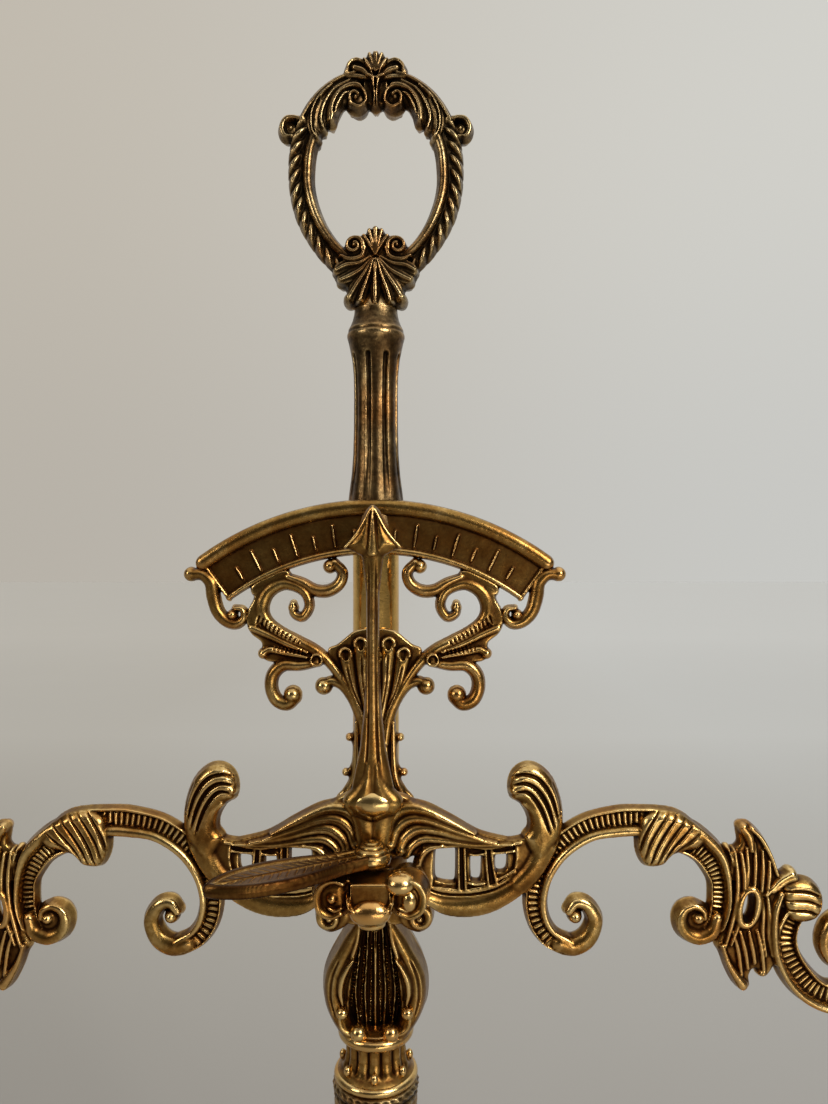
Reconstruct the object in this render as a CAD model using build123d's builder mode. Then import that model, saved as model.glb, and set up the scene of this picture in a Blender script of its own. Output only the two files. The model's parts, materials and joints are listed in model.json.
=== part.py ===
# Decorative brass balance scale: a turned column on a marble plinth, a ring handle, an arc dial,
# a pierced scrolling beam with its pointer, a leaf lever that locks the beam, and two hanging pans.
# Millimetres, +Z up, front towards -Y, the beam along X, origin under the middle of the plinth.
import os
from math import cos, radians, sin
from build123d import *

os.makedirs("parts", exist_ok=True)

# ---- heights of the column stack ---------------------------------------------------------------
foot_height = 8
plinth_radius = 75
plinth_height = 18
plinth_top = foot_height + plinth_height
foot_casting_top = 82
collar_bottom = 225
lyre_bottom = 232
head_bottom = 296
head_top = 328
tube_bottom = 300
sleeve_bottom = 449
sleeve_top = 538
total_height = 640

# ---- running gear ------------------------------------------------------------------------------
pivot_z = 345
beam_back = 17.5
beam_thickness = 6
beam_front = beam_back + beam_thickness
end_x = 188
end_z = 270
pin_radius = 2.5
bushing_radius = 4
fit = 0.05
tongue_radius = 22.5
tongue_half = 6.5

# ---- column pieces -----------------------------------------------------------------------------
rod_radius = 3
tube_radius = 9.2
tube_bore = 6

# ---- dial --------------------------------------------------------------------------------------
dial_back = 11.8
dial_thickness = 4
dial_outer = 116.8
dial_inner = 97.4
dial_half_angle = 37

# ---- lever -------------------------------------------------------------------------------------
lever_y = -34
lever_angle = 210
shaft_radius = 2.2
cam_radius = 5
cam_throw = 3.6
cam_bottom = 321
cam_height = 4
blade_length = 62

# ---- pans and chains ---------------------------------------------------------------------------
hanger_y = -(beam_back + beam_thickness / 2)
crown_z = 240
crown_radius = 9
pan_radius = 54.5
pan_z = 100
pan_depth = 14
link_radius = 3.3
link_wire = 0.75
link_pitch = 4.95
rim_inset = 0.5
chain_angles = (0, 120, 240)


def front_plane(distance, height=0):
    """An upright sketch plane that faces the front, `distance` in front of the column's axis."""
    return Plane(origin=(0, -distance, height), x_dir=(1, 0, 0), z_dir=(0, -1, 0))


def mirrored(points):
    """A closed outline's points from its right half, listed from the top to the bottom."""
    return points + [(-x, z) for x, z in reversed(points) if x > 0]


def band(points, width):
    """A band of even width with round ends along a smooth curve, added to the open sketch."""
    with BuildLine() as route:
        Spline(*points)
    trace(route.line, line_width=width)
    with Locations(points[0], points[-1]):
        Circle(width / 2)


def blob(points):
    """A closed smooth outline, added to the open sketch."""
    with BuildLine() as outline:
        Spline(*points, periodic=True)
    make_face(outline.edges())


def turned(points):
    """A revolved solid about the column's axis from (radius, height) points joined by lines."""
    with BuildSketch(Plane.XZ) as profile:
        with BuildLine():
            Polyline(*points, close=True)
        make_face()
    revolve(profile.sketch, axis=Axis.Z)


def save(builder, name):
    """Label a finished piece and write it as its own STEP file."""
    builder.part.label = name
    export_step(builder.part, f"parts/{name}.step")


# ================================ base =====================================
foot_circle = 56
foot_radius = 9
nut_well_radius = 13
nut_well_depth = 9
washer_thickness = 1.6
nut_height = 5

with BuildPart() as bun_feet:
    with PolarLocations(foot_circle, 4, start_angle=45):
        Cylinder(foot_radius, foot_height, align=(Align.CENTER, Align.CENTER, Align.MIN))
    fillet(bun_feet.edges().filter_by(GeomType.CIRCLE), 2.6)
save(bun_feet, "bun_feet")

with BuildPart() as plinth:
    with Locations((0, 0, foot_height)):
        Cylinder(plinth_radius, plinth_height, align=(Align.CENTER, Align.CENTER, Align.MIN))
    fillet(plinth.edges().group_by(Axis.Z)[-1], 5)
    chamfer(plinth.edges().group_by(Axis.Z)[0], 1)
    with Locations((0, 0, plinth_top)):
        Hole(rod_radius + 0.3, plinth_height)
    with Locations((0, 0, foot_height)):
        well = (Align.CENTER, Align.CENTER, Align.MIN)
        Cylinder(nut_well_radius, nut_well_depth, align=well, mode=Mode.SUBTRACT)
save(plinth, "plinth")

with BuildPart() as foot_casting:
    with BuildSketch(Plane.XZ):
        with BuildLine():
            Polyline((48, plinth_top), (55, plinth_top), (55, plinth_top + 4), (52, plinth_top + 7))
            Spline((52, plinth_top + 7), (40, plinth_top + 20), (22, plinth_top + 30), (16, 68))
            Polyline((16, 68), (21, 71), (21, 75), (17, 78), (17, foot_casting_top))
            Polyline((17, foot_casting_top), (7, foot_casting_top), (7, 66))
            Spline((7, 66), (18, 52), (36, 42), (48, plinth_top))
        make_face()
    revolve(axis=Axis.Z)
    with Locations((0, 0, 70)):
        Cylinder(rod_radius + 0.3, 30, mode=Mode.SUBTRACT)
save(foot_casting, "foot_casting")

# ================================ turned column ============================
with BuildPart() as lower_column:
    with BuildSketch(Plane.XZ):
        with BuildLine():
            Polyline((7, foot_casting_top), (19, foot_casting_top), (19, 88), (15, 92), (15, 98))
            Spline((15, 98), (21, 122), (15, 158), (12.5, 184))
            Polyline((12.5, 184), (16.4, 188), (16.4, 196), (14.6, 199), (14.6, 203))
            Polyline((14.6, 203), (16.6, 206), (16.6, 212), (15, 214), (16.8, 217))
            Polyline((16.8, 217), (16.8, collar_bottom), (7, collar_bottom), (7, foot_casting_top))
        make_face()
    revolve(axis=Axis.Z)
save(lower_column, "lower_column")

with BuildPart() as bead_collar:
    turned([(7, collar_bottom), (17, collar_bottom), (17.4, 228.5), (17, lyre_bottom), (7, lyre_bottom)])
    fillet(bead_collar.edges().group_by(Axis.Z)[-1].sort_by(SortBy.LENGTH)[-1], 1.5)
save(bead_collar, "bead_collar")

# The lyre: a reeded neck, a bead ring and a pierced-looking body with strings in a recess.
lyre_depth = 11
string_count = 5
string_pitch = 4

with BuildPart() as lyre_baluster:
    turned(
        [(7, lyre_bottom), (15.6, lyre_bottom), (15.6, 235), (12.6, 240), (12.6, 243), (13.8, 244)]
        + [(13.8, 248), (12.6, 249), (12.6, 256), (7, 256)]
    )
    lyre_side = [(13, head_bottom), (15.5, 289), (19, 283), (21.4, 275), (21.3, 263)]
    lyre_side += [(18.4, 256), (13, 251)]
    with BuildSketch(front_plane(-lyre_depth)):
        with BuildLine():
            Spline(*lyre_side)
            Polyline(lyre_side[-1], (-13, 251))
            Spline(*[(-x, z) for x, z in reversed(lyre_side)])
            Polyline((-13, head_bottom), (13, head_bottom))
        make_face()
    extrude(amount=2 * lyre_depth)
    fillet(lyre_baluster.edges().filter_by(GeomType.BSPLINE), 2)
    recess = [(0, 289), (9, 286), (13, 275), (12.5, 263), (6, 256)]
    recess += [(-6, 256), (-12.5, 263), (-13, 275), (-9, 286)]
    for face_distance in (lyre_depth, -lyre_depth):
        with BuildSketch(front_plane(face_distance)):
            blob(recess)
        extrude(amount=3, both=True, mode=Mode.SUBTRACT)
    with BuildSketch(front_plane(-lyre_depth + 1)):
        with Locations((0, 272)):
            with GridLocations(string_pitch, 1, string_count, 1):
                SlotOverall(36, 1.5, rotation=90)
    extrude(amount=2 * lyre_depth - 2)
    for side in (1, -1):
        with Locations((side * 9, -lyre_depth, 254), (side * 16, -7, 259), (side * 17.5, -7, 284)):
            Sphere(4)
    with Locations((0, 0, lyre_bottom)):
        Cylinder(rod_radius + 2, 70, align=(Align.CENTER, Align.CENTER, Align.MIN), mode=Mode.SUBTRACT)
save(lyre_baluster, "lyre_baluster")

# ================================ bracket head =============================
block_half = 9.5
block_front = 47
block_back = 26.5
cheek_half = 19
neck_half = 8.5
neck_top = 320.5
pocket_radius = 9
clip_well_top = 309.6
clip_well_radius = 4.4
collar_radius = 14
volute_y = -10.5
volute_radius = 5.6

with BuildPart() as bracket_head:
    with BuildSketch(Plane.XY.offset(head_bottom)):
        Circle(collar_radius)
    extrude(amount=34)
    with BuildSketch(Plane.XY.offset(head_bottom)):
        with Locations((0, -20)):
            Rectangle(2 * neck_half, 26)
    extrude(amount=neck_top - head_bottom)
    with BuildSketch(front_plane(block_back)):
        with Locations((0, 319.5)):
            RectangleRounded(2 * block_half, 17, 2)
    extrude(amount=block_front - block_back)
    with BuildSketch(front_plane(block_back)):
        blob(mirrored([(6, 326), (17, 325), (cheek_half, 317), (17, 307), (9, 300)]))
    extrude(amount=13)
    with Locations((11.5, -34, 324), (-11.5, -34, 324)):
        Sphere(4.6)
    with Locations((19, volute_y, 303.5), (-19, volute_y, 303.5)):
        Sphere(volute_radius)
    with BuildSketch(Plane.XY.offset(head_bottom + 2)):
        with Locations((0, volute_y + 1)):
            SlotOverall(44, 13)
    extrude(amount=5)
    with BuildSketch(Plane.XY.offset(cam_bottom - 0.4)):
        with Locations((0, lever_y)):
            Circle(pocket_radius)
    extrude(amount=cam_height + 0.8, mode=Mode.SUBTRACT)
    with Locations((0, lever_y, 315)):
        Cylinder(shaft_radius + fit, 60, mode=Mode.SUBTRACT)
    with Locations((0, lever_y, clip_well_top)):
        clip_well = (Align.CENTER, Align.CENTER, Align.MAX)
        Cylinder(clip_well_radius, 20, align=clip_well, mode=Mode.SUBTRACT)
    with Locations((0, 0, tube_bottom)):
        Cylinder(tube_radius, 60, align=(Align.CENTER, Align.CENTER, Align.MIN), mode=Mode.SUBTRACT)
    with Locations((0, 0, head_bottom)):
        Cylinder(rod_radius + 0.3, 20, mode=Mode.SUBTRACT)
save(bracket_head, "bracket_head")

# ================================ tube, sleeve, rod ========================
tube_top = sleeve_top - 40

with BuildPart() as column_tube:
    with BuildSketch(Plane.XY.offset(tube_bottom)):
        Circle(tube_radius)
        Circle(tube_bore, mode=Mode.SUBTRACT)
    extrude(amount=tube_top - tube_bottom)
    with BuildSketch(front_plane(tube_bore - 1)):
        with Locations((0, pivot_z)):
            Circle(pin_radius)
        with Locations((0, pivot_z + 22), (0, pivot_z + 56)):
            Circle(1.6)
    extrude(amount=10, mode=Mode.SUBTRACT)
save(column_tube, "column_tube")

flute_count = 9
flute_radius = 1.4

with BuildPart() as fluted_sleeve:
    with BuildSketch(Plane.XZ):
        with BuildLine():
            Polyline((tube_radius, sleeve_bottom), (11.4, sleeve_bottom), (11.4, 452))
            Spline((11.4, 452), (10.4, 464), (9.9, 476), (9.9, 497), (10.1, 512), (10.8, 521), (12, 525))
            Polyline((12, 525), (12, 528), (10, 533), (9.2, sleeve_top), (4, sleeve_top))
            Polyline((4, sleeve_top), (4, tube_top), (tube_radius, tube_top), (tube_radius, sleeve_bottom))
        make_face()
    revolve(axis=Axis.Z)
    with PolarLocations(10.6, flute_count, start_angle=-90):
        with Locations((0, 0, 490)):
            Cylinder(flute_radius, 46, mode=Mode.SUBTRACT)
save(fluted_sleeve, "fluted_sleeve")

rod_top = 548
washer_bottom = foot_height + nut_well_depth - washer_thickness

with BuildPart() as tie_rod:
    with Locations((0, 0, foot_height + 1)):
        Cylinder(rod_radius, rod_top - foot_height - 1, align=(Align.CENTER, Align.CENTER, Align.MIN))
save(tie_rod, "tie_rod")

with BuildPart() as tie_washer:
    with BuildSketch(Plane.XY.offset(washer_bottom)):
        Circle(nut_well_radius - 2)
        Circle(rod_radius + 0.1, mode=Mode.SUBTRACT)
    extrude(amount=washer_thickness)
save(tie_washer, "tie_washer")

with BuildPart() as tie_nut:
    with BuildSketch(Plane.XY.offset(washer_bottom - nut_height)):
        RegularPolygon(6.5, 6)
        Circle(rod_radius, mode=Mode.SUBTRACT)
    extrude(amount=nut_height)
save(tie_nut, "tie_nut")

# ================================ ring handle ==============================
ring_depth = 10
ring_outer = [(0, total_height), (8, 634), (20, 627), (29, 619), (35, 606), (36.5, 592), (33, 574)]
ring_outer += [(22, 558), (15.5, 549), (10, 541), (8.6, sleeve_top)]
ring_opening = [(0, 617), (12, 613.5), (21, 604.5), (25, 591), (23, 577), (14, 564), (7, 563), (0, 569)]

with BuildPart() as ring_handle:
    with BuildSketch(front_plane(-ring_depth / 2)):
        with BuildLine():
            Spline(*ring_outer)
            Line((8.6, sleeve_top), (-8.6, sleeve_top))
            Spline(*[(-x, z) for x, z in reversed(ring_outer)])
        make_face()
        with Locations((33, 610), (-33, 610)):
            Circle(4.5)
        with BuildLine():
            Spline(*ring_opening)
            Spline(*[(-x, z) for x, z in reversed(ring_opening)])
        make_face(mode=Mode.SUBTRACT)
    extrude(amount=ring_depth)
    fillet(ring_handle.edges().group_by(Axis.Y)[0] + ring_handle.edges().group_by(Axis.Y)[-1], 1.8)
    with Locations((8, 0, 619), (-8, 0, 619), (9, 0, 560), (-9, 0, 560)):
        Sphere(5)
    with Locations((0, 0, 530)):
        Cylinder(rod_radius, 36, mode=Mode.SUBTRACT)
save(ring_handle, "ring_handle")

# ================================ dial plate ===============================
boss_radius = 4
eye_radius = 3.4
scroll_bosses = [(25, 53), (15, 46), (53, 71), (72, 88)]
scroll_eyes = [(32, 40), (30, 74)]
c_scroll = [(31, 73), (28, 79), (34, 83), (41, 78), (40, 69), (30, 61), (20, 54), (11, 42), (4, 26)]
dial_scrolls = [
    ([(69, 90), (64, 84), (62.5, 76), (57, 69.5), (52.5, 72)], 4),
    ([(15, 96), (13.5, 87), (18, 81), (25.5, 80.5), (33, 82.5)], 3.6),
    (c_scroll, 4.2),
    ([(51, 69), (44, 61), (42, 54), (40, 44), (35, 37), (30, 40)], 4),
    ([(42, 58), (32, 52), (22, 53)], 4.6),
    ([(7, 61), (8.5, 46), (6, 30)], 6),
]
tick_pitch = 4.4
tick_first = 6.5
tick_count = 8
rim_width = 5
lip_width = 2

with BuildPart() as dial_plate:
    with BuildSketch(front_plane(dial_back, pivot_z)):
        with BuildLine():
            CenterArc((0, 0), dial_outer, 90 - dial_half_angle, 2 * dial_half_angle)
            CenterArc((0, 0), dial_inner, 90 - dial_half_angle, 2 * dial_half_angle)
            for side in (1, -1):
                angle = radians(90 + side * dial_half_angle)
                inner_end = (dial_inner * cos(angle), dial_inner * sin(angle))
                Line(inner_end, (dial_outer * cos(angle), dial_outer * sin(angle)))
        make_face()
        for side in (1, -1):
            for scroll, width in dial_scrolls:
                band([(side * x, z) for x, z in scroll], width)
            for x, z in scroll_bosses:
                with Locations((side * x, z)):
                    Circle(boss_radius)
            for x, z in scroll_eyes:
                with Locations((side * x, z)):
                    Circle(eye_radius)
        with BuildLine():
            Polyline((-10, 24), (10, 24), (10, 8), (14, -4), (0, -9), (-14, -4), (-10, 8), close=True)
        make_face()
        band([(0, 62), (0, 20)], 10)
    extrude(amount=dial_thickness)
    with BuildSketch(front_plane(dial_back + dial_thickness, pivot_z)):
        with BuildLine():
            CenterArc((0, 0), dial_outer - rim_width, 90 - dial_half_angle + 1, 2 * dial_half_angle - 2)
            CenterArc((0, 0), dial_inner + lip_width, 90 - dial_half_angle + 1, 2 * dial_half_angle - 2)
            for side in (1, -1):
                angle = radians(90 + side * (dial_half_angle - 1))
                recess_end = ((dial_inner + lip_width) * cos(angle), (dial_inner + lip_width) * sin(angle))
                Line(recess_end, ((dial_outer - rim_width) * cos(angle), (dial_outer - rim_width) * sin(angle)))
        make_face()
    extrude(amount=-1.5, mode=Mode.SUBTRACT)
    with BuildSketch(front_plane(dial_back + dial_thickness - 1.6, pivot_z)):
        for step in range(tick_count):
            for side in (1, -1):
                tick_angle = 90 + side * (tick_first - tick_pitch / 2 + step * tick_pitch)
                length = 8 if step % 2 else 5
                radius = dial_outer - rim_width - length / 2
                with Locations((radius * cos(radians(tick_angle)), radius * sin(radians(tick_angle)))):
                    Rectangle(length, 1.2, rotation=tick_angle)
    extrude(amount=1.2)
    with BuildSketch(front_plane(tube_radius - 3, pivot_z)):
        with Locations((0, 22), (0, 56)):
            Circle(5)
    extrude(amount=dial_back - tube_radius + 4)
    with Locations((0, 0, pivot_z)):
        Cylinder(tube_radius, 300, mode=Mode.SUBTRACT)
    with BuildSketch(front_plane(0, pivot_z)):
        Circle(pin_radius)
        with Locations((0, 22), (0, 56)):
            Circle(1.6)
    extrude(amount=30, mode=Mode.SUBTRACT)
save(dial_plate, "dial_plate")

with BuildPart() as dial_screws:
    for height in (pivot_z + 22, pivot_z + 56):
        with BuildSketch(front_plane(tube_bore + 0.3, height)):
            Circle(1.6)
        extrude(amount=dial_back + dial_thickness - tube_bore)
        with BuildSketch(front_plane(dial_back + dial_thickness, height)):
            Circle(3)
            Rectangle(6, 0.8, mode=Mode.SUBTRACT)
        extrude(amount=1)
save(dial_screws, "dial_screws")

# ================================ pivot ====================================
with BuildPart() as pivot_pin:
    with BuildSketch(front_plane(tube_bore + 0.3, pivot_z)):
        Circle(pin_radius)
    extrude(amount=beam_front + 1 - tube_bore)
    with BuildSketch(front_plane(beam_front + 0.3, pivot_z)):
        Circle(pin_radius)
        Circle(pin_radius - 0.5, mode=Mode.SUBTRACT)
    extrude(amount=0.5, mode=Mode.SUBTRACT)
save(pivot_pin, "pivot_pin")

with BuildPart() as pivot_collar:
    with BuildSketch(front_plane(dial_back + dial_thickness, pivot_z)):
        Circle(5)
        Circle(pin_radius, mode=Mode.SUBTRACT)
    extrude(amount=beam_back - dial_back - dial_thickness - 0.3)
save(pivot_collar, "pivot_collar")

with BuildPart() as pivot_clip:
    with BuildSketch(front_plane(beam_front + 0.3, pivot_z)):
        Circle(4.2)
        Circle(pin_radius - 0.5, mode=Mode.SUBTRACT)
        with Locations((0, -3)):
            Rectangle(2.4, 6, mode=Mode.SUBTRACT)
    extrude(amount=0.5)
save(pivot_clip, "pivot_clip")

# ================================ beam =====================================
# Heights in the beam's outlines are measured from the pivot.
boat = [(13, 5), (18, 1), (28, -4.5), (42, -10.5), (50, -11), (50.5, 6), (54, 14.5), (60.5, 17)]
boat += [(67, 12), (72, 0), (73, -6), (66, -18), (58, -26), (49, -36), (35, -40.5), (24, -38)]
boat += [(18.6, -32), (18, -20)]
first_scroll = [(128, -14), (118, -9.5), (107, -5.5), (95, -4.6), (84, -6.8), (73, -13)]
first_scroll += [(64.5, -23), (61, -33)]
first_volute = [(61, -33), (62, -43), (67, -49.5), (74, -51.5), (80.5, -48), (82, -41), (77, -36)]
second_scroll = [(115, -15), (125, -20), (129.4, -28), (129.5, -36), (126, -45)]
cartouche = [(133, -15), (138, -12), (138, -6), (141, -5), (146, -10), (149, -18), (153, -22), (158, -24)]
cartouche += [(153, -31), (152, -44), (150, -56), (147, -64), (142, -62), (141, -69), (137, -68), (132, -60)]
cartouche += [(128, -50), (132, -38)]
end_scroll = [(157, -31), (153.8, -41), (153.6, -50), (155.6, -59), (160, -65.5), (167, -69.5), (175, -70)]
end_scroll += [(183, -66.5), (188, -59), (188.3, -49), (183, -42), (174.5, -41)]
end_volute = [(174.5, -41), (168.8, -46), (168.6, -53), (173.5, -57.5)]
tuft = [(98, -10), (98.5, -18), (102, -23), (108, -23), (112, -19.5), (118, -14), (110, -8)]
end_tuft = [(155, -26), (163, -26.5), (168, -30), (169, -36), (166, -42), (159, -43.5), (154, -37)]
channel_depth = 1.4

with BuildPart() as beam:
    with BuildSketch(front_plane(beam_back, pivot_z)):
        with BuildLine():
            Polyline((0, 6), (11, 6), boat[0])
            Spline(*boat)
            Polyline(boat[-1], (11, -16), (tongue_half, -17), (tongue_half, -21.5))
            ThreePointArc((tongue_half, -21.5), (3.4, -22.25), (0, -tongue_radius))
            Line((0, -tongue_radius), (0, 6))
        make_face()
        band(first_scroll, 10)
        band(first_volute, 6)
        band(second_scroll, 8)
        band(end_scroll, 9)
        band(end_volute, 6)
        blob(tuft)
        blob(end_tuft)
        blob(cartouche)
        with Locations((121.5, -42)):
            Circle(7.5)
        with Locations((75.5, -42.5)):
            Circle(4)
        with Locations((175.5, -52.5)):
            Circle(4.5)
        band([(184, -64), (187, -70), (end_x, end_z - pivot_z)], 6)
        with Locations((end_x, end_z - pivot_z)):
            Circle(4.5)
        with Locations((141, -37.5)):
            Ellipse(2.6, 5.4, rotation=15, mode=Mode.SUBTRACT)
        for slot_x, slot_z, slot_height, slot_width in (
            (27.5, -22, 11, 6),
            (38.5, -22.5, 9, 4.5),
            (48.5, -21, 6.5, 4.5),
        ):
            with Locations((slot_x, slot_z)):
                SlotOverall(slot_height, slot_width, rotation=90)
    extrude(amount=beam_thickness)
    with BuildSketch(front_plane(beam_front, pivot_z)):
        band(first_scroll[1:], 5.5)
        band(second_scroll, 4)
        band(end_scroll[1:-1], 4.5)
    extrude(amount=-channel_depth, mode=Mode.SUBTRACT)
    mirror(about=Plane.YZ)
    with BuildSketch(front_plane(beam_back, pivot_z)):
        Circle(bushing_radius)
        with Locations((end_x, end_z - pivot_z), (-end_x, end_z - pivot_z)):
            Circle(1.5)
        with Locations((8, 1), (-8, 1)):
            Circle(1.2)
    extrude(amount=beam_thickness, mode=Mode.SUBTRACT)
save(beam, "beam")

with BuildPart() as beam_bushing:
    with BuildSketch(front_plane(beam_back, pivot_z)):
        Circle(bushing_radius)
        Circle(pin_radius + fit, mode=Mode.SUBTRACT)
    extrude(amount=beam_thickness)
save(beam_bushing, "beam_bushing")

pointer_half = [(0, 113.6), (3.8, 109.5), (5.6, 105), (8.6, 100.4), (10.9, 97.5)]
pointer_stem = [(4.4, 95.5), (2.4, 92), (2.4, 71), (2.8, 44), (3.4, 29), (4.8, 14), (8.2, 7.5)]
pointer_thickness = 5
base_pocket = 5.2

with BuildPart() as pointer:
    with BuildSketch(front_plane(beam_front, pivot_z)):
        with BuildLine():
            Polyline(*mirrored(pointer_half + pointer_stem + [(11.2, 7), (11.2, -3)]), close=True)
        make_face()
    extrude(amount=pointer_thickness)
    chamfer(pointer.faces().sort_by(Axis.Y)[0].edges(), 0.8)
    with BuildSketch(front_plane(beam_front, pivot_z)):
        Circle(base_pocket)
    extrude(amount=1.8, mode=Mode.SUBTRACT)
    with BuildSketch(front_plane(beam_front, pivot_z)):
        with Locations((8, 1), (-8, 1)):
            Circle(1.2)
    extrude(amount=2, mode=Mode.SUBTRACT)
save(pointer, "pointer")

with BuildPart() as pointer_rivets:
    with BuildSketch(front_plane(beam_back - 0.6, pivot_z)):
        with Locations((8, 1), (-8, 1)):
            Circle(2)
    extrude(amount=0.6)
    with BuildSketch(front_plane(beam_back, pivot_z)):
        with Locations((8, 1), (-8, 1)):
            Circle(1.2)
    extrude(amount=beam_thickness + 2)
save(pointer_rivets, "pointer_rivets")

with BuildPart() as end_pins:
    with BuildSketch(front_plane(beam_back - 2.4, end_z)):
        with Locations((end_x, 0), (-end_x, 0)):
            Circle(1.5)
    extrude(amount=beam_thickness + 4.8)
save(end_pins, "end_pins")

# ================================ locking lever ============================
hub_radius = 5.6
hub_bottom = head_top + 0.4
hub_top = 338.5
blade_z = 329.8
blade_thickness = 3
leaf_edge = [(3, 4), (12, 5), (24, 9.5), (34, 10.5), (46, 8), (56, 3), (blade_length, 0)]

with BuildPart() as lock_lever:
    with BuildSketch(Plane(origin=(0, lever_y, hub_bottom))):
        Circle(hub_radius)
    extrude(amount=hub_top - hub_bottom)
    fillet(lock_lever.edges().group_by(Axis.Z)[-1], 4)
    leaf_direction = (cos(radians(lever_angle)), sin(radians(lever_angle)), 0)
    with BuildSketch(Plane(origin=(0, lever_y, blade_z), x_dir=leaf_direction, z_dir=(0, 0, 1))):
        with BuildLine():
            Spline(*leaf_edge)
            Spline(*[(x, -y) for x, y in reversed(leaf_edge)])
            Line((3, -4), (3, 4))
        make_face()
    extrude(amount=blade_thickness)
    with Locations((0, lever_y, hub_bottom)):
        Cylinder(shaft_radius, 12, mode=Mode.SUBTRACT)
save(lock_lever, "lock_lever")

shaft_bottom = 307

with BuildPart() as lever_shaft:
    with BuildSketch(Plane(origin=(0, lever_y, shaft_bottom))):
        Circle(shaft_radius)
    extrude(amount=hub_bottom + 6 - shaft_bottom)
    with BuildSketch(Plane(origin=(0, lever_y, shaft_bottom + 1.5))):
        Circle(shaft_radius)
        Circle(shaft_radius - 0.5, mode=Mode.SUBTRACT)
    extrude(amount=0.8, mode=Mode.SUBTRACT)
save(lever_shaft, "lever_shaft")

with BuildPart() as lock_cam:
    with BuildSketch(Plane(origin=(0, lever_y, cam_bottom))):
        with Locations((cam_throw * cos(radians(30)), cam_throw * sin(radians(30)))):
            Circle(cam_radius)
        Circle(shaft_radius, mode=Mode.SUBTRACT)
    extrude(amount=cam_height)
save(lock_cam, "lock_cam")

with BuildPart() as lever_clip:
    with BuildSketch(Plane(origin=(0, lever_y, shaft_bottom + 1.5))):
        Circle(3.6)
        Circle(shaft_radius - 0.5, mode=Mode.SUBTRACT)
        with Locations((0, -3)):
            Rectangle(2, 5, mode=Mode.SUBTRACT)
    extrude(amount=0.8)
save(lever_clip, "lever_clip")

# ================================ pans =====================================
stirrup_gap = beam_thickness + 0.8
stirrup_depth = stirrup_gap + 3.2
eye_z = crown_z + 13


def stirrup(side):
    """The forked link that turns on the beam's end pin and carries the crown's eye."""
    with BuildPart() as piece:
        with BuildSketch(front_plane(-hanger_y - stirrup_depth / 2)):
            with Locations((side * end_x, (end_z + eye_z) / 2)):
                SlotOverall(end_z - eye_z + 7, 7, rotation=90)
        extrude(amount=stirrup_depth)
        with BuildSketch(front_plane(-hanger_y - stirrup_gap / 2)):
            with Locations((side * end_x, end_z + 2)):
                Rectangle(8, 20)
        extrude(amount=stirrup_gap, mode=Mode.SUBTRACT)
        with BuildSketch(front_plane(-hanger_y - stirrup_depth)):
            with Locations((side * end_x, end_z)):
                Circle(1.5 + fit)
        extrude(amount=2 * stirrup_depth, mode=Mode.SUBTRACT)
        with BuildSketch(Plane(origin=(side * end_x, hanger_y, eye_z - 6))):
            Circle(1.6)
        extrude(amount=8, mode=Mode.SUBTRACT)
    return piece


def crown(side):
    """The small disc that the three chains spread from, with its riveted stem."""
    with BuildPart() as piece:
        with BuildSketch(Plane(origin=(side * end_x, hanger_y, crown_z - 0.8))):
            Circle(crown_radius)
            with PolarLocations(crown_radius - rim_inset - link_radius, 3, start_angle=90 - side * 90):
                Circle(1.4, mode=Mode.SUBTRACT)
        extrude(amount=1.6)
        with BuildSketch(Plane(origin=(side * end_x, hanger_y, crown_z + 0.8))):
            Circle(1.6)
        extrude(amount=eye_z - crown_z - 0.8)
        with BuildSketch(Plane(origin=(side * end_x, hanger_y, crown_z + 0.8))):
            Circle(2.2)
        extrude(amount=2)
    return piece


def chain(side, angle):
    """Round links from the crown's rim to the pan's rim, alternately turned by a quarter."""
    direction = (cos(radians(angle)) * side, sin(radians(angle)), 0)
    top = Vector(*direction) * (crown_radius - rim_inset) + Vector(side * end_x, hanger_y, crown_z)
    bottom = Vector(*direction) * (pan_radius - rim_inset) + Vector(side * end_x, hanger_y, pan_z)
    run = bottom - top
    gaps = 2 * round(run.length / link_pitch / 2)
    across = Vector(*direction).cross(Vector(0, 0, 1))
    flat = across.cross(run.normalized())
    with BuildPart() as piece:
        for step in range(gaps + 1):
            centre = top + run * (step / gaps)
            normal = flat if step % 2 else across
            with Locations(Plane(origin=centre, x_dir=run, z_dir=normal)):
                Torus(link_radius, link_wire)
    return piece


def pan(side):
    """A shallow spun dish with a flat rim, and a hole in the rim for each chain."""
    pan_bottom = pan_z - pan_depth
    pan_floor = pan_bottom + 1.3
    rim_bottom, rim_top = pan_z - 0.7, pan_z + 0.7
    with BuildPart() as piece:
        with BuildSketch(Plane.XZ):
            with BuildLine():
                Line((0, pan_bottom), (20, pan_bottom))
                Spline((20, pan_bottom), (38, pan_bottom + 4), (47, rim_bottom))
                Polyline((47, rim_bottom), (pan_radius, rim_bottom), (pan_radius, rim_top), (46, rim_top))
                Spline((46, rim_top), (36, pan_bottom + 5), (20, pan_floor))
                Polyline((20, pan_floor), (0, pan_floor), (0, pan_bottom))
            make_face()
        revolve(axis=Axis.Z)
        with BuildSketch(Plane.XY.offset(pan_z - 3)):
            with PolarLocations(pan_radius - rim_inset - link_radius, 3, start_angle=90 - side * 90):
                Circle(1.4)
        extrude(amount=6, mode=Mode.SUBTRACT)
    piece.part.locate(Location((side * end_x, hanger_y, 0)))
    return piece


for side, side_name in ((-1, "left"), (1, "right")):
    save(stirrup(side), f"stirrup_{side_name}")
    save(crown(side), f"crown_{side_name}")
    save(pan(side), f"pan_{side_name}")
    for number, angle in enumerate(chain_angles, start=1):
        save(chain(side, angle), f"chain_{side_name}_{number}")
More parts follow.
